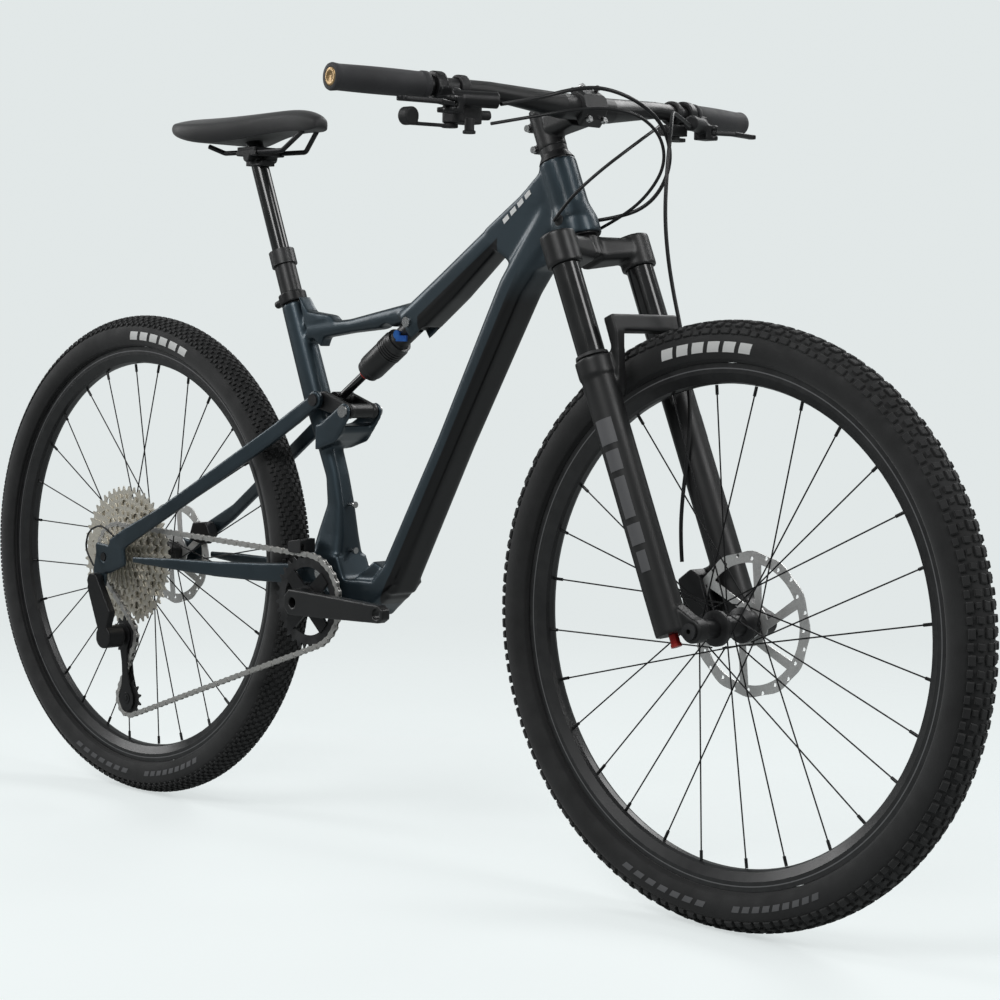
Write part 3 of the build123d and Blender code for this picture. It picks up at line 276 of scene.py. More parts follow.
def frame_paint():
    """Dark metallic lacquer, with painted shade: black bands along the undersides of the down tube and the
    top tube.
    """
    # the last colour given here is the painted edge highlight
    shader = coated("frame_paint", (0.034, 0.053, 0.067), 0.46, 0.85, 0.7, 0.22, (0.07, 0.10, 0.13),
                    flake=0.05)
    parts = shader.node("ShaderNodeSeparateXYZ")
    shader.link(shader.place, parts.inputs[0])

    def below(point, degrees):
        """Distance below a line in the middle plane, measured square to it."""
        angle = math.radians(degrees)
        x = shader.math("MULTIPLY", shader.math("SUBTRACT", parts.outputs[0], point[0]), math.sin(angle))
        z = shader.math("MULTIPLY", shader.math("SUBTRACT", parts.outputs[2], point[1]), -math.cos(angle))
        return shader.math("ADD", x, z)

    def band(value, low, high):
        over = shader.remap(value, low - 0.001, low + 0.001, 0.0, 1.0)
        return shader.math("MULTIPLY", over, shader.remap(value, high - 0.001, high + 0.001, 1.0, 0.0))

    # painted shade: a black band along the shaded underside of the down tube, fading out towards the top
    down = band(below((0.211, 0.811), 61.3), 0.020, 0.060)
    down = shader.math("MULTIPLY", down, shader.remap(parts.outputs[2], 0.755, 0.800, 1.0, 0.0))
    # painted shade: a black band along the shaded underside of the top tube
    top = band(below((0.174, 0.8635), 35.2), 0.026, 0.046)
    top = shader.math("MULTIPLY", top, band(parts.outputs[0], 0.040, 0.186))
    painted_shade_mask = shader.math("MAXIMUM", down, top)
    plain = shader.main.inputs["Base Color"].links[0].from_socket
    # the painted shade bands darken the lacquer's colour to near black
    shader.colour(shader.mix(painted_shade_mask, plain, (0.008, 0.008, 0.009)))
    return shader


def saddle_cover():
    shader, fine = rubber("saddle_cover", (0.014, 0.014, 0.015), 0.5, 1500, 0.25, 0.25)
    cells = shader.node("ShaderNodeTexVoronoi")
    cells.inputs["Scale"].default_value = 700
    shader.link(shader.place, cells.inputs["Vector"])
    shader.bump(cells.outputs["Distance"], 0.25, 0.0004, over=fine)
    return shader


def rim_paint(name, axle):
    # (0.05, 0.05, 0.05) is the painted edge highlight
    shader = coated(name, (0.012, 0.012, 0.013), 0.36, 0.1, 0.3, 0.2, (0.05, 0.05, 0.05))
    radius = shader.radius_from(axle)
    offset = shader.math("ABSOLUTE", shader.math("SUBTRACT", radius, 0.3115))
    line = shader.math("LESS_THAN", offset, 0.0007)
    plain = shader.main.inputs["Base Color"].links[0].from_socket
    shader.colour(shader.mix(line, plain, (0.16, 0.16, 0.165)))
    return shader


# ---------------------------------------------------------------- mesh helpers
def new_piece(name, verts, faces, material, smooth=True):
    mesh = bpy.data.meshes.new(name)
    mesh.from_pydata([tuple(v) for v in verts], [], faces)
    mesh.validate()
    mesh.update()
    if smooth:
        mesh.polygons.foreach_set("use_smooth", [True] * len(mesh.polygons))
    piece = bpy.data.objects.new(name, mesh)
    bpy.context.scene.collection.objects.link(piece)
    mesh.materials.append(MATERIALS[material].material)
    return piece


def finish_piece(piece, body, slot, *nodes):
    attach(piece, body)
    if nodes:
        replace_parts(piece, *nodes)


def soften(node, voxel, rounds, body, slot, material=None, factor=0.5, webs=()):
    """A closed, evenly meshed copy of a CAD solid, with its edges blended as in a moulding.

    webs are flat fillings, an outline in the x-z plane and half a width, that join its tubes smoothly.
    """
    copy = bpy.data.objects.new(node + "_form", NODES[node].data.copy())
    bpy.context.scene.collection.objects.link(copy)
    if webs:
        verts, faces = [], []
        for outline, half in webs:
            add_solid(verts, faces, outline, -half, half)
        extra = bpy.data.meshes.new(node + "_webs")
        extra.from_pydata(verts, [], faces)
        made = bmesh.new()
        made.from_mesh(copy.data)
        made.from_mesh(extra)
        made.to_mesh(copy.data)
        made.free()
    remesh = copy.modifiers.new("remesh", "REMESH")
    remesh.mode, remesh.voxel_size = "VOXEL", voxel
    relax = copy.modifiers.new("relax", "SMOOTH")
    relax.factor, relax.iterations = factor, rounds
    graph = bpy.context.evaluated_depsgraph_get()
    mesh = bpy.data.meshes.new_from_object(copy.evaluated_get(graph))
    copy.modifiers.clear()
    copy.data = mesh
    mesh.materials.clear()
    mesh.materials.append(MATERIALS[material or slot].material)
    mesh.polygons.foreach_set("use_smooth", [True] * len(mesh.polygons))
    finish_piece(copy, body, slot, node)
    return copy


def ring_loft(rings, loop=False):
    """Faces between equal rings of points, capped at both ends unless they form a loop."""
    count = len(rings[0])
    verts = [p for ring in rings for p in ring]
    faces = []
    last = len(rings) if loop else len(rings) - 1
    for i in range(last):
        a, b = i * count, ((i + 1) % len(rings)) * count
        for j in range(count):
            k = (j + 1) % count
            faces.append((a + j, a + k, b + k, b + j))
    if not loop:
        faces.append(tuple(range(count))[::-1])
        faces.append(tuple(range((len(rings) - 1) * count, len(rings) * count)))
    return verts, faces


def lathe(start, end, profile, segments=48):
    """A turned solid along start to end. profile is (distance along, radius)."""
    start, end = Vector(start), Vector(end)
    axis = (end - start).normalized()
    side = axis.orthogonal().normalized()
    other = axis.cross(side)
    rings = []
    for along, radius in profile:
        centre = start + axis * along
        turns = [2 * math.pi * i / segments for i in range(segments)]
        rings.append([centre + (side * math.cos(t) + other * math.sin(t)) * radius for t in turns])
    return ring_loft(rings)


# ---------------------------------------------------------------- tyres
def knob(turn, across, size, height, axle, section, middle, skew=0.0):
    """A tapered tread block standing on the casing: eight corners and a chamfered top."""
    length, width = size
    corners = []
    for level, shrink in ((-0.0025, 1.0), (height * 0.75, 0.9), (height, 0.74)):
        for u, v in ((-1, -1), (1, -1), (1, 1), (-1, 1)):
            along = u * length / 2 * shrink + skew * v * width / 2
            beside = across + v * width / 2 * shrink / section
            radius = section + level
            y = (radius + 0.0012) * math.sin(beside)
            r = middle + radius * math.cos(beside)
            angle = turn + along / (middle + section)
            corners.append((axle[0] + r * math.cos(angle), axle[1] + y, axle[2] + r * math.sin(angle)))
    faces = [(11, 10, 9, 8)]
    for ring in (0, 4):
        for i in range(4):
            j = (i + 1) % 4
            faces.append((ring + i, ring + j, ring + 4 + j, ring + 4 + i))
    return corners, faces


def tread_rows(kind):
    """Rows of tread blocks: (angle across the casing, length, width, height, skew, phase)."""
    if kind == "front":
        return 76, [(0.20, .0125, .0085, .0032, 0.25, 0.0), (-0.20, .0125, .0085, .0032, -0.25, 0.0),
                    (0.13, .0090, .0060, .0032, 0.0, 0.5), (-0.13, .0090, .0060, .0032, 0.0, 0.5),
                    (0.56, .0085, .0080, .0034, 0.2, 0.5), (-0.56, .0085, .0080, .0034, -0.2, 0.5),
                    (0.60, .0070, .0060, .0030, 0.0, 0.05), (-0.60, .0070, .0060, .0030, 0.0, 0.05),
                    (0.95, .0130, .0085, .0032, 0.0, 0.0), (-0.95, .0130, .0085, .0032, 0.0, 0.0),
                    (1.01, .0100, .0065, .0030, 0.0, 0.5), (-1.01, .0100, .0065, .0030, 0.0, 0.5)]
    rows = []
    for index, across in enumerate((0.0, 0.22, 0.44, 0.66, 0.88, 1.02)):
        phase = 0.5 * (index % 2)
        for side in ((1,) if across == 0 else (1, -1)):
            rows.append((side * across, .0072 - 0.0004 * index, .0058, .0024, 0.0, phase))
    rows += [(0.33, .0050, .0036, .0020, 0.0, 0.0), (-0.33, .0050, .0036, .0020, 0.0, 0.0)]
    return 168, rows


def sidewall_marks(kind, axle, middle, casing, starts, height, label, material):
    """Plain raised marks on both sidewalls, one slanted block after another."""
    verts, faces = [], []
    lift = casing + 0.0018 + 0.00035
    for side in (-1, 1):
        for start, width, lean in starts:
            turn = math.radians(start)
            wide = math.radians(width)
            grid = []
            for row in range(5):
                across = math.radians(90 + height * (row / 4 - 0.5) + 6)
                for column in range(4):
                    angle = turn + wide * (column / 3) + lean * wide * (row / 4)
                    r = middle + lift * math.cos(across)
                    grid.append((axle[0] + r * math.cos(angle), side * lift * math.sin(across),
                                 axle[2] + r * math.sin(angle)))
            base = len(verts)
            verts += grid
            for row in range(4):
                for column in range(3):
                    a = base + row * 4 + column
                    quad = (a, a + 1, a + 5, a + 4)
                    faces.append(quad if side > 0 else quad[::-1])
    piece = new_piece(kind + "_tyre_" + label, verts, faces, material)
    finish_piece(piece, kind + "_wheel", "tyre_rubber")


def make_tyre(kind, axle, radius, section):
    middle = radius - section
    height = 0.0032 if kind == "front" else 0.0024
    casing = section - height - 0.0003
    rings, around = [], 180
    profile = []
    outer = [math.radians(a) for a in range(-132, 133, 6)]
    for across in outer:
        bulge = casing + (0.0018 if abs(across) > 1.1 else 0.0)
        profile.append((bulge * math.sin(across), middle + bulge * math.cos(across)))
    inner_r = casing - 0.003
    for across in reversed(outer):
        profile.append((inner_r * math.sin(across), middle + inner_r * math.cos(across)))
    foot = [(0.0196, 0.3212), (0.0168, 0.3186), (0.0128, 0.3184)]
    lining = profile[len(outer):]
    profile = [(-y, r) for y, r in reversed(foot)] + profile[:len(outer)] + foot + lining
    for step in range(around):
        turn = 2 * math.pi * step / around
        rings.append([(axle[0] + r * math.cos(turn), y, axle[2] + r * math.sin(turn)) for y, r in profile])
    verts, faces = ring_loft(rings, loop=True)
    pitch, rows = tread_rows(kind)
    for across, length, width, tall, skew, phase in rows:
        for index in range(pitch):
            turn = 2 * math.pi * (index + phase) / pitch
            corners, knob_faces = knob(turn, across, (length, width), tall, axle, casing, middle, skew)
            base = len(verts)
            verts.extend(corners)
            faces.extend(tuple(base + i for i in face) for face in knob_faces)
    piece = new_piece(kind + "_tyre_tread", verts, faces, "tyre_rubber", smooth=False)
    flags = [len(p.vertices) == 4 and p.index < around * len(profile) for p in piece.data.polygons]
    piece.data.polygons.foreach_set("use_smooth", flags)
    finish_piece(piece, kind + "_wheel", "tyre_rubber", kind + "_tyre")
    first = 103 if kind == "front" else 88
    marks = [(first - 4.1 * i, 3.0, 0.22) for i in range(6)]
    sidewall_marks(kind, axle, middle, casing, marks, 26, "marks", "mark_white")
    small = [(246 + 3.4 * i, 2.2, 0.3) for i in range(7)] + [(276 + 2.6 * i, 1.8, 0.3) for i in range(9)]
    sidewall_marks(kind, axle, middle, casing, small, 15, "small_marks", "mark_grey")


# ---------------------------------------------------------------- saddle
def make_saddle():
    """The saddle from its tail to its nose: place along x, half width, lowest and highest z."""
    sections = [(-0.461, 0.030, 1.006, 1.015), (-0.452, 0.056, 0.999, 1.0190),
                (-0.430, 0.067, 0.990, 1.0210), (-0.400, 0.068, 0.9830, 1.0215),
                (-0.370, 0.061, 0.9800, 1.0220), (-0.335, 0.047, 0.9830, 1.0235),
                (-0.300, 0.035, 0.9885, 1.0255), (-0.262, 0.027, 0.9930, 1.0278),
                (-0.232, 0.0225, 0.9950, 1.0280), (-0.206, 0.0200, 0.9940, 1.0250),
                (-0.190, 0.0170, 0.9945, 1.0195), (-0.180, 0.0120, 0.9985, 1.0135)]
    rings = []
    count = 28
    for x, half, low, high in sections:
        ring = []
        for index in range(count):
            turn = 2 * math.pi * index / count
            c, s = math.cos(turn), math.sin(turn)
            y = half * math.copysign(abs(c) ** 0.72, c)
            top = high - 0.0035 * math.exp(-(y / 0.010) ** 2) * (1 if x < -0.25 else 0.3)
            droop = (high - low) * 0.42 * (abs(y) / half) ** 2.2
            inset = (1 - min(1.0, abs(s) * 3)) * 0.5 * (top - droop - low)
            z = top - droop - inset if s >= 0 else low + inset
            ring.append((x, y, z))
        rings.append(ring)
    verts, faces = ring_loft(rings)
    piece = new_piece("saddle_shell", verts, faces, "saddle_cover")
    smooth = piece.modifiers.new("subdivide", "SUBSURF")
    smooth.levels = smooth.render_levels = 2
    finish_piece(piece, "seat", "saddle_cover", "saddle")


# ---------------------------------------------------------------- cockpit
def bar_point(y):
    reach = max(0.0, abs(y) - 0.045)
    rise = min(1.0, reach / 0.110) * 0.010
    return Vector((BAR_X - reach * BAR_SWEEP, y, BAR_Z + rise))


def make_grips():
    for side, label in ((-1, "right"), (1, "left")):
        end, start = bar_point(side * 0.3815), bar_point(side * 0.2475)
        length = (end - start).length
        profile = [(0.0, 0.0113), (0.0, 0.0158), (0.0012, 0.0168), (0.0075, 0.0168), (0.0085, 0.0155)]
        for index in range(13):
            share = index / 12
            swell = 0.0006 * math.sin(math.pi * share)
            profile.append((0.0095 + (length - 0.020) * share, 0.0156 + swell))
        profile += [(length - 0.009, 0.0158), (length - 0.002, 0.0166), (length, 0.0158), (length, 0.0113)]
        verts, faces = lathe(start, end, profile)
        grip = new_piece("grip_" + label, verts, faces[:-2], "grip_rubber")
        finish_piece(grip, "steering", "grip_rubber", "grips")
        out = (end - start).normalized()
        plug_profile = [(-0.004, 0.0110), (0.0002, 0.0110), (0.0008, 0.0100), (0.0009, 0.0062),
                        (0.0003, 0.0056), (0.0003, 0.0001)]
        verts, faces = lathe(end - out * 0.0003, end + out, plug_profile, 32)
        plug = new_piece("grip_plug_" + label, verts, faces, "plug_gold")
        finish_piece(plug, "steering", "black_anodised")


# The hoses' routes in millimetres, from the controls to the ports.
REAR_HOSE = [(340, -178, 992), (338, -112, 1004), (354, -70, 1018), (380, -40, 1022), (400, 2, 1008),
             (402, 46, 985), (396, 75, 951), (386, 78, 914), (366, 70, 884), (338, 52, 868),
             (302, 32.6, 862)]
SHIFT_CABLE = [(306, -160, 971.5), (324, -112, 982), (345, -64, 993), (376, -36, 997), (401, 2, 992),
               (406, 42, 968), (401, 58, 932), (380, 52, 896), (346, 43, 868), (305, 32.6, 848)]
DROPPER_CABLE = [(303, 163, 988), (345, 118, 990), (372, 66, 976), (377, 18, 952), (354, -16, 920),
                 (326, -40, 885), (296, -32.6, 860)]
FRONT_HOSE = [(340, 178, 992), (362, 120, 1004), (388, 84, 998), (409, 56, 966), (418, 40, 918),
              (421, 35, 866), (424, 39, 816), (430, 45, 770), (440, 49, 726), (451, 51, 672), (459, 49, 618),
              (459, 44.8, 566), (452, 45, 514), (449, 47, 468), (451, 49, 436)]


def make_hose(name, points, radius):
    curve = bpy.data.curves.new(name, "CURVE")
    curve.dimensions = "3D"
    curve.bevel_depth, curve.bevel_resolution, curve.resolution_u = radius, 5, 10
    curve.use_fill_caps = True
    spline = curve.splines.new("NURBS")
    spline.points.add(len(points) - 1)
    for point, place in zip(spline.points, points):
        point.co = (place[0] / 1000, place[1] / 1000, place[2] / 1000, 1)
    spline.order_u = 3
    spline.use_endpoint_u = True
    piece = bpy.data.objects.new(name, curve)
    bpy.context.scene.collection.objects.link(piece)
    curve.materials.append(MATERIALS["hose_black"].material)
    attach(piece, "steering")
    return piece


def make_hoses():
    rear = make_hose("rear_brake_line", REAR_HOSE, 0.0025)
    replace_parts(rear, "brake_hoses")
    front = make_hose("front_brake_line", FRONT_HOSE, 0.0025)
    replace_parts(front, "brake_hoses")
    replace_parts(make_hose("shift_line", SHIFT_CABLE, 0.0021), "shift_cable")
    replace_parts(make_hose("dropper_line", DROPPER_CABLE, 0.0021), "dropper_cable")


# ---------------------------------------------------------------- chain
def chain_path():
    """The closed path of the chain's pins round the toothed wheels, seen from the right."""
    wheels = [(REAR_AXLE, CASSETTE_TEETH, -1), (BOTTOM_BRACKET, RING_TEETH, -1),
              (JOCKEY_LOWER, JOCKEY_TEETH, -1), (JOCKEY_UPPER, JOCKEY_TEETH, 1)]
    radii = [CHAIN_PITCH / (2 * math.sin(math.pi / teeth)) for _, teeth, _ in wheels]
    headings = []
    for index, (centre, _, way) in enumerate(wheels):
        after = (index + 1) % len(wheels)
        gap = wheels[after][0] - centre
        rise = (wheels[after][2] * radii[after] - way * radii[index]) / gap.length
        headings.append(math.atan2(gap.z, gap.x) - math.asin(rise))
    points = []
    for index, (centre, _, way) in enumerate(wheels):
        radius = radii[index]
        arrive, leave = headings[index - 1], headings[index]
        sweep = way * ((way * (leave - arrive)) % (2 * math.pi))
        steps = max(4, int(abs(sweep) * radius / 0.002))
        for step in range(steps + 1):
            turn = arrive + sweep * step / steps - way * math.pi / 2
            points.append((centre.x + radius * math.cos(turn), centre.z + radius * math.sin(turn)))
    return points + points[:1]


def even_points(path, pitch):
    """Points about a pitch apart along a closed path, an even number of them."""
    lengths = [math.dist(a, b) for a, b in zip(path, path[1:])]
    total = sum(lengths)
    count = 2 * round(total / pitch / 2)
    spaced, segment, passed = [], 0, 0.0
    for index in range(count):
        want = total * index / count
        while passed + lengths[segment] < want:
            passed += lengths[segment]
            segment += 1
        part = (want - passed) / lengths[segment]
        a, b = path[segment], path[segment + 1]
        spaced.append((a[0] + (b[0] - a[0]) * part, a[1] + (b[1] - a[1]) * part))
    return spaced


def add_solid(verts, faces, outline, low, high):
    """An outline in the x-z plane given a thickness from y low to y high."""
    base, count = len(verts), len(outline)
    verts += [(x, low, z) for x, z in outline] + [(x, high, z) for x, z in outline]
    faces.append(tuple(base + i for i in range(count))[::-1])
    faces.append(tuple(base + count + i for i in range(count)))
    for i in range(count):
        j = (i + 1) % count
        faces.append((base + i, base + j, base + count + j, base + count + i))


def link_plate(a, b, end_radius, waist):
    """The outline of one chain plate between two pins."""
    ahead = (Vector((b[0], 0, b[1])) - Vector((a[0], 0, a[1]))).normalized()
    beside = Vector((-ahead.z, 0, ahead.x))
    outline = []
    for centre, first in ((a, 90), (b, -90)):
        for step in range(7):
            turn = math.radians(first + 30 * step)
            point = Vector((centre[0], 0, centre[1]))
            point += (ahead * math.cos(turn) + beside * math.sin(turn)) * end_radius
            outline.append((point.x, point.z))
        middle = Vector(((a[0] + b[0]) / 2, 0, (a[1] + b[1]) / 2))
        middle += beside * (-waist if first == 90 else waist)
        outline.append((middle.x, middle.z))
    return outline


def circle(centre, radius, count):
    turns = [2 * math.pi * index / count for index in range(count)]
    return [(centre[0] + radius * math.cos(t), centre[1] + radius * math.sin(t)) for t in turns]


def make_chain():
    pins = even_points(chain_path(), CHAIN_PITCH)
    verts, faces = [], []
    for index, pin in enumerate(pins):
        after = pins[(index + 1) % len(pins)]
        outline = link_plate(pin, after, 0.0041, 0.0028)
        gap = 0.0013 if index % 2 else 0.0022
        for low, high in ((-gap - 0.0008, -gap), (gap, gap + 0.0008)):
            add_solid(verts, faces, outline, CHAIN_LINE + low, CHAIN_LINE + high)
        for radius, half in ((0.0036, 0.0013), (0.0017, 0.0033)):
            add_solid(verts, faces, circle(pin, radius, 12), CHAIN_LINE - half, CHAIN_LINE + half)
    piece = new_piece("chain_links", verts, faces, "chain_steel", smooth=False)
    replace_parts(piece, "chain")
    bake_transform(piece)


def make_cage():
    """The derailleur's cage: two waisted plates round the jockey wheels, joined by their bolts."""
    ahead = (JOCKEY_LOWER - JOCKEY_UPPER).normalized()
    beside = Vector((-ahead.z, 0, ahead.x))
    length = (JOCKEY_LOWER - JOCKEY_UPPER).length
    half_widths = [(-0.0185, 0.004), (-0.015, 0.0115), (-0.006, 0.0165), (0.006, 0.0155), (0.020, 0.0085),
                   (0.040, 0.0062), (0.060, 0.0070), (length - 0.016, 0.0115), (length - 0.004, 0.0165),
                   (length + 0.008, 0.0155), (length + 0.0165, 0.0095), (length + 0.019, 0.003)]
    verts, faces = [], []
    outline = [JOCKEY_UPPER + ahead * a + beside * w for a, w in half_widths]
    outline += [JOCKEY_UPPER + ahead * a - beside * w for a, w in reversed(half_widths)]
    flat = [(p.x, p.z) for p in outline]
    for low, high in ((-0.0060, -0.0042), (0.0042, 0.0060)):
        add_solid(verts, faces, flat, CHAIN_LINE + low, CHAIN_LINE + high)
    for jockey in (JOCKEY_UPPER, JOCKEY_LOWER):
        for radius, low, high in ((0.0042, -0.0078, 0.0068), (0.0088, -0.0070, -0.0058)):
            ring = circle((jockey.x, jockey.z), radius, 20)
            add_solid(verts, faces, ring, CHAIN_LINE + low, CHAIN_LINE + high)
    piece = new_piece("cage_plates", verts, faces, "black_anodised", smooth=False)
    edges = piece.modifiers.new("bevel", "BEVEL")
    edges.width, edges.segments, edges.limit_method = 0.0005, 2, "ANGLE"
    finish_piece(piece, "derailleur_cage", "black_anodised", "derailleur_cage")


def seat_point(along):
    return Vector((-0.235 - along * math.cos(SEAT_ANGLE), 0, 0.752 + along * math.sin(SEAT_ANGLE)))


def leg_point(along, y):
    """A point on a fork leg's axis, from its distance up the steering axis."""
    up = Vector((-math.cos(HEAD_ANGLE), 0, math.sin(HEAD_ANGLE)))
    front = Vector((math.sin(HEAD_ANGLE), 0, math.cos(HEAD_ANGLE)))
    return HEAD_BASE + Vector((0, y, 0)) + up * along + front * 0.024


def turned_piece(name, start, end, profile, look, body, slot, *nodes):
    verts, faces = lathe(start, end, profile, 56)
    piece = new_piece(name, verts, faces, look)
    edges = piece.modifiers.new("sharp", "EDGE_SPLIT")
    edges.split_angle = math.radians(32)
    finish_piece(piece, body, slot, *nodes)


def make_turned_parts():
    mount, eye = Vector((0.0198, 0, 0.729)), Vector((-0.136, 0, 0.620))
    profile = [(0.033, 0.0010), (0.033, 0.0100), (0.040, 0.0130)]
    for index in range(5):
        at = 0.052 + index * 0.0042
        profile += [(at, 0.0198), (at + 0.0026, 0.0198), (at + 0.0028, 0.0188), (at + 0.0040, 0.0188)]
    profile += [(0.0745, 0.0190), (0.1080, 0.0190), (0.1120, 0.0178), (0.1200, 0.0165), (0.1210, 0.0085)]
    turned_piece("shock_sleeve", mount, eye, profile, "satin_black", "shock_can", "satin_black")
    ring = [(0.1255, 0.0062), (0.1255, 0.0078), (0.1272, 0.0086), (0.1288, 0.0078), (0.1288, 0.0062)]
    turned_piece("shock_o_ring", mount, eye, ring, "red_anodised", "shock_can", "red_anodised")
    post = [(-0.004, 0.0001), (-0.004, 0.0124), (0.272, 0.0124), (0.2725, 0.0001)]
    turned_piece("post_slider", seat_point(0), seat_point(1), post, "gloss_black", "seat", "gloss_black")
    wiper = [(0.1655, 0.0180), (0.1665, 0.0205), (0.1700, 0.0212), (0.1722, 0.0178), (0.1722, 0.0205)]
    for side, label in ((-1, "right"), (1, "left")):
        top, low = leg_point(0, side * LEG_Y), leg_point(-1, side * LEG_Y)
        turned_piece("wiper_" + label, top, low, wiper, "matte_plastic", "lowers", "matte_plastic")


def make_leg_graphics():
    """Plain grey stripes down the outside of each fork leg: start and end along it, width in degrees."""
    stripes = ((0.252, 0.284, 62), (0.292, 0.318, 50), (0.326, 0.378, 40), (0.386, 0.412, 50),
               (0.420, 0.446, 34))
    columns = 8
    verts, faces = [], []
    for side in (-1, 1):
        for first, last, wide in stripes:
            base = len(verts)
            for along in (-first, -last):
                for column in range(columns + 1):
                    turn = math.radians(wide * (column / columns - 0.5) + 12)
                    offset = Vector((math.sin(turn) * math.sin(HEAD_ANGLE), side * math.cos(turn),
                                     math.sin(turn) * math.cos(HEAD_ANGLE))) * 0.02195
                    verts.append(leg_point(along, side * LEG_Y) + offset)
            for column in range(columns):
                a = base + column
                quad = (a, a + 1, a + columns + 2, a + columns + 1)
                faces.append(quad if side < 0 else quad[::-1])
    piece = new_piece("leg_stripes", verts, faces, "mark_grey")
    finish_piece(piece, "lowers", "lowers_black")


def wrapped_patch(name, corners, target, look, body, slot):
    """A thin painted patch laid on a piece's surface, from four corners in order."""
    a, b, c, d = (Vector(corner) for corner in corners)
    columns, rows = 16, 4
    verts, faces = [], []
    for row in range(rows + 1):
        for column in range(columns + 1):
            low, high = a.lerp(b, column / columns), d.lerp(c, column / columns)
            verts.append(low.lerp(high, row / rows))
    for row in range(rows):
        for column in range(columns):
            at = row * (columns + 1) + column
            faces.append((at, at + 1, at + columns + 2, at + columns + 1))
    piece = new_piece(name, verts, faces, look)
    wrap = piece.modifiers.new("wrap", "SHRINKWRAP")
    wrap.target, wrap.offset, wrap.wrap_mode = target, 0.0003, "ABOVE_SURFACE"
    finish_piece(piece, body, slot)


def make_frame_details(form):
    """Plain pale marks near the head tube, and the ports where the hoses enter."""
    for side, label in ((-1, "right"), (1, "left")):
        y = side * 0.024
        for index in range(4):
            shift = Vector((0.0126, 0, 0.0102)) * index
            corners = [(0.1985, y, 0.8575), (0.2075, y, 0.8648), (0.2040, y, 0.8705), (0.1950, y, 0.8632)]
            corners = [Vector(corner) + shift for corner in corners]
            name = f"frame_mark_{label}_{index}"
            wrapped_patch(name, corners, form, "mark_white", "frame", "frame_paint")
        port = Vector((0.300, side * 0.0240, 0.860))
        turned_piece("hose_port_" + label, port, port + Vector((-0.15, side, 0)).normalized(),
                     [(0.0, 0.0001), (0.0, 0.0085), (0.0045, 0.0078), (0.0062, 0.0052), (0.0066, 0.0001)],
                     "matte_plastic", "frame", "matte_plastic")


# ---------------------------------------------------------------- everything else
def dress_nodes():
    """Every CAD node that still shows gets its slot's material."""
    slots = {entry["node"]: entry["material_slot"] for entry in frame["record"]["subparts"]}
    rims = {"front_rim": "rim_front", "rear_rim": "rim_rear"}
    for name, node in NODES.items():
        look = MATERIALS[rims.get(name, slots[name])]
        node.data.materials.clear()
        node.data.materials.append(look.material)
    blacken_spacer()


def blacken_spacer():
    """The steerer's spacer and top cap are black, and only the bolts are bare steel."""
    mesh = NODES["stem_fasteners"].data
    mesh.materials.append(MATERIALS["satin_black"].material)
    axis = Vector((-math.cos(HEAD_ANGLE), 0, math.sin(HEAD_ANGLE)))
    for face in mesh.polygons:
        offset = face.center - HEAD_BASE
        if (offset - axis * offset.dot(axis)).length < 0.0190 and offset.dot(axis) > 0.05:
            face.material_index = 1


def make_floor():
    """A pale floor that fades into the backdrop's colour away from the bike."""
    mesh = bpy.data.meshes.new("floor")
    made = bmesh.new()
    bmesh.ops.create_grid(made, x_segments=8, y_segments=8, size=6)
    made.to_mesh(mesh)
    made.free()
    floor = bpy.data.objects.new("floor", mesh)
    floor.location.z = -0.0005
    bpy.context.scene.collection.objects.link(floor)
    shader = Shader("floor_paint", (0.5, 0.5, 0.5), 0.95)
    shader.main.inputs["Specular IOR Level"].default_value = 0.0
    shader.colour(shader.mix(shader.noise(0.5), (0.40, 0.42, 0.42), (0.41, 0.43, 0.43)))
    glow = shader.node("ShaderNodeEmission")
    glow.inputs[0].default_value = BACKDROP
    seen = shader.node("ShaderNodeLightPath").outputs["Is Camera Ray"]
    shader.link(shader.math("MULTIPLY", seen, FLOOR_GLOW), glow.inputs[1])
    lit = shader.node("ShaderNodeAddShader")
    shader.link(shader.main.outputs[0], lit.inputs[0])
    shader.link(glow.outputs[0], lit.inputs[1])
    away = shader.node("ShaderNodeVectorMath", operation="LENGTH")
    shader.link(shader.place, away.inputs[0])
    fade = shader.remap(away.outputs["Value"], 0.9, 2.6, 0.0, 1.0)
    clear = shader.node("ShaderNodeBsdfTransparent")
    blend = shader.node("ShaderNodeMixShader")
    shader.link(fade, blend.inputs[0])
    shader.link(lit.outputs[0], blend.inputs[1])
    shader.link(clear.outputs[0], blend.inputs[2])
    output = [n for n in shader.tree.nodes if n.type == "OUTPUT_MATERIAL"][0]
    shader.link(blend.outputs[0], output.inputs[0])
    mesh.materials.append(shader.material)


def make_world():
    """A pale backdrop that lights the bike only softly."""
    world = bpy.data.worlds.new("world")
    world.use_nodes = True
    bpy.context.scene.world = world
    tree = world.node_tree
    back = tree.nodes["Background"]
    back.inputs[0].default_value = BACKDROP
    seen = tree.nodes.new("ShaderNodeLightPath").outputs["Is Camera Ray"]
    level = tree.nodes.new("ShaderNodeMapRange")
    level.inputs["To Min"].default_value = 0.26
    level.inputs["To Max"].default_value = 1.0
    tree.links.new(seen, level.inputs["Value"])
    tree.links.new(level.outputs["Result"], back.inputs[1])


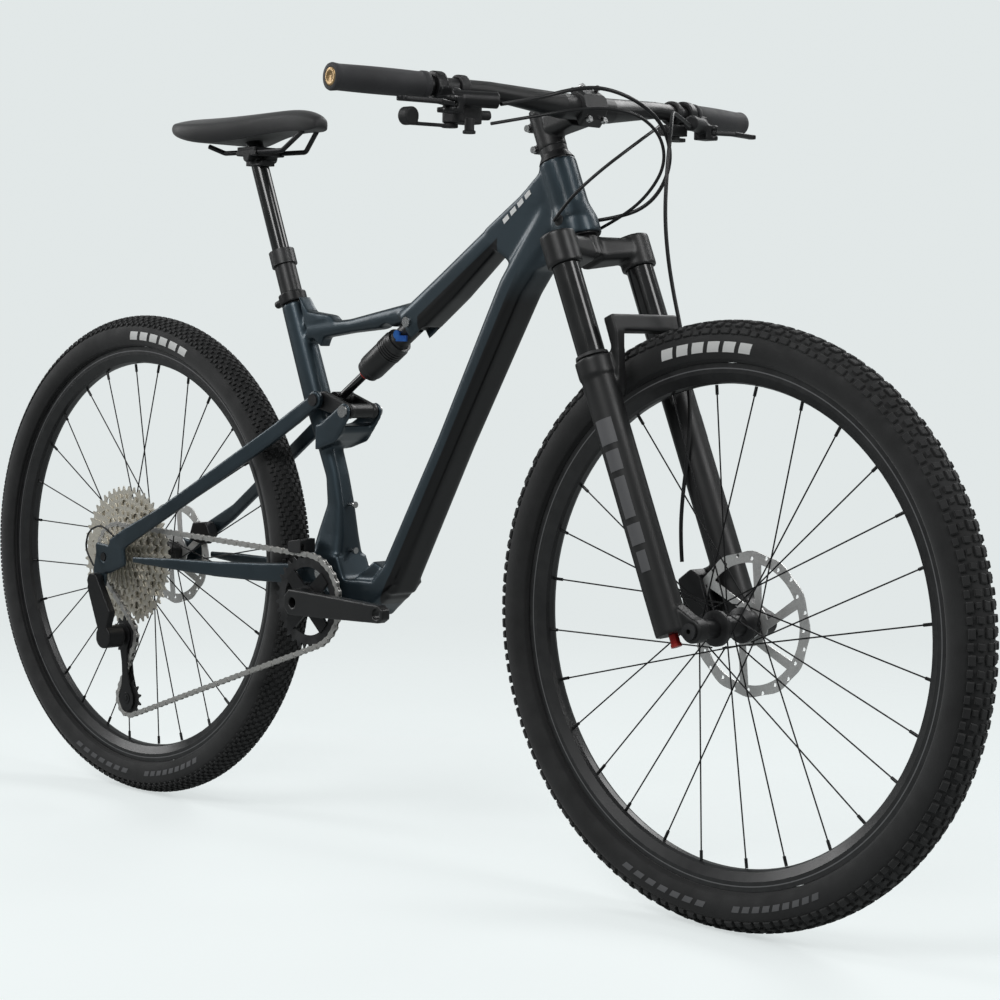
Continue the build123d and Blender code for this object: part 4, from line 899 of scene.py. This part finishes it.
MATERIALS = make_materials()
aim_camera()
make_world()
make_floor()
area_light("key", (0.6, -3.4, 3.4), (0, 0, 0.5), (2.2, 1.6), 70)
area_light("side", (-3.0, -1.4, 2.2), (0, 0, 0.6), (1.2, 2.4), 36)
area_light("front", (3.2, 0.4, 2.4), (0.4, 0, 0.6), (1.0, 2.4), 34)
area_light("back", (0.2, 3.2, 3.0), (0, 0, 0.6), (3, 1.2), 45)
bpy.context.scene.view_settings.view_transform = "Standard"
dress_nodes()
FRAME_WEBS = [
    ([(0.160, 0.851), (0.222, 0.893), (0.262, 0.928), (0.296, 0.850), (0.289, 0.812), (0.240, 0.792),
      (0.211, 0.803), (0.196, 0.815), (0.178, 0.825)], 0.0215),
    ([(-0.196, 0.742), (-0.150, 0.737), (-0.138, 0.727), (-0.160, 0.712), (-0.168, 0.692),
      (-0.180, 0.700)], 0.011),
    ([(-0.215, 0.765), (-0.196, 0.742), (-0.160, 0.730), (-0.200, 0.720)], 0.012),
    ([(-0.060, 0.738), (0.020, 0.756), (0.050, 0.770), (0.040, 0.735), (-0.020, 0.722)], 0.012),
    ([(-0.041, 0.330), (-0.010, 0.350), (0.012, 0.380), (-0.040, 0.400), (-0.080, 0.372)], 0.022)]
frame_form = soften("main_frame", 0.0020, 24, "frame", "frame_paint", webs=FRAME_WEBS)
make_frame_details(frame_form)
soften("chainstays", 0.0016, 9, "swingarm", "frame_paint")
soften("seatstays", 0.0016, 8, "rear_stays", "frame_paint")
soften("fork_crown", 0.0016, 12, "steering", "satin_black")
soften("fork_lowers", 0.0016, 14, "lowers", "lowers_black")
soften("derailleur_body", 0.0012, 9, "rear_stays", "black_anodised")
soften("rocker_link", 0.0013, 6, "rocker", "satin_black")
soften("brake_lever_right", 0.0008, 7, "brake_lever_right", "black_anodised")
soften("brake_lever_left", 0.0008, 7, "brake_lever_left", "black_anodised")
soften("shift_paddle_main", 0.0009, 7, "shift_paddle_main", "matte_plastic")
soften("shift_paddle_release", 0.0009, 7, "shift_paddle_release", "matte_plastic")
soften("dropper_remote_body", 0.0010, 6, "steering", "matte_plastic")
soften("front_caliper", 0.0010, 6, "lowers", "black_anodised")
soften("rear_caliper", 0.0010, 6, "rear_stays", "black_anodised")
soften("seatpost_collar", 0.0010, 5, "frame", "black_anodised")
soften("saddle_clamp", 0.0010, 6, "seat", "black_anodised")
soften("chain_guide", 0.0010, 6, "frame", "matte_plastic")
make_turned_parts()
make_cage()
make_leg_graphics()
soften("crank_arm_right", 0.0013, 4, "cranks", "satin_black")
soften("crank_arm_left", 0.0013, 4, "cranks", "satin_black")
soften("stem", 0.0013, 4, "steering", "satin_black")
soften("brake_bodies", 0.0012, 5, "steering", "black_anodised")
soften("shifter_body", 0.0012, 5, "steering", "matte_plastic")
make_tyre("front", FRONT_AXLE, 0.370, 0.030)
make_tyre("rear", REAR_AXLE, 0.366, 0.0285)
make_saddle()
make_grips()
make_hoses()
make_chain()
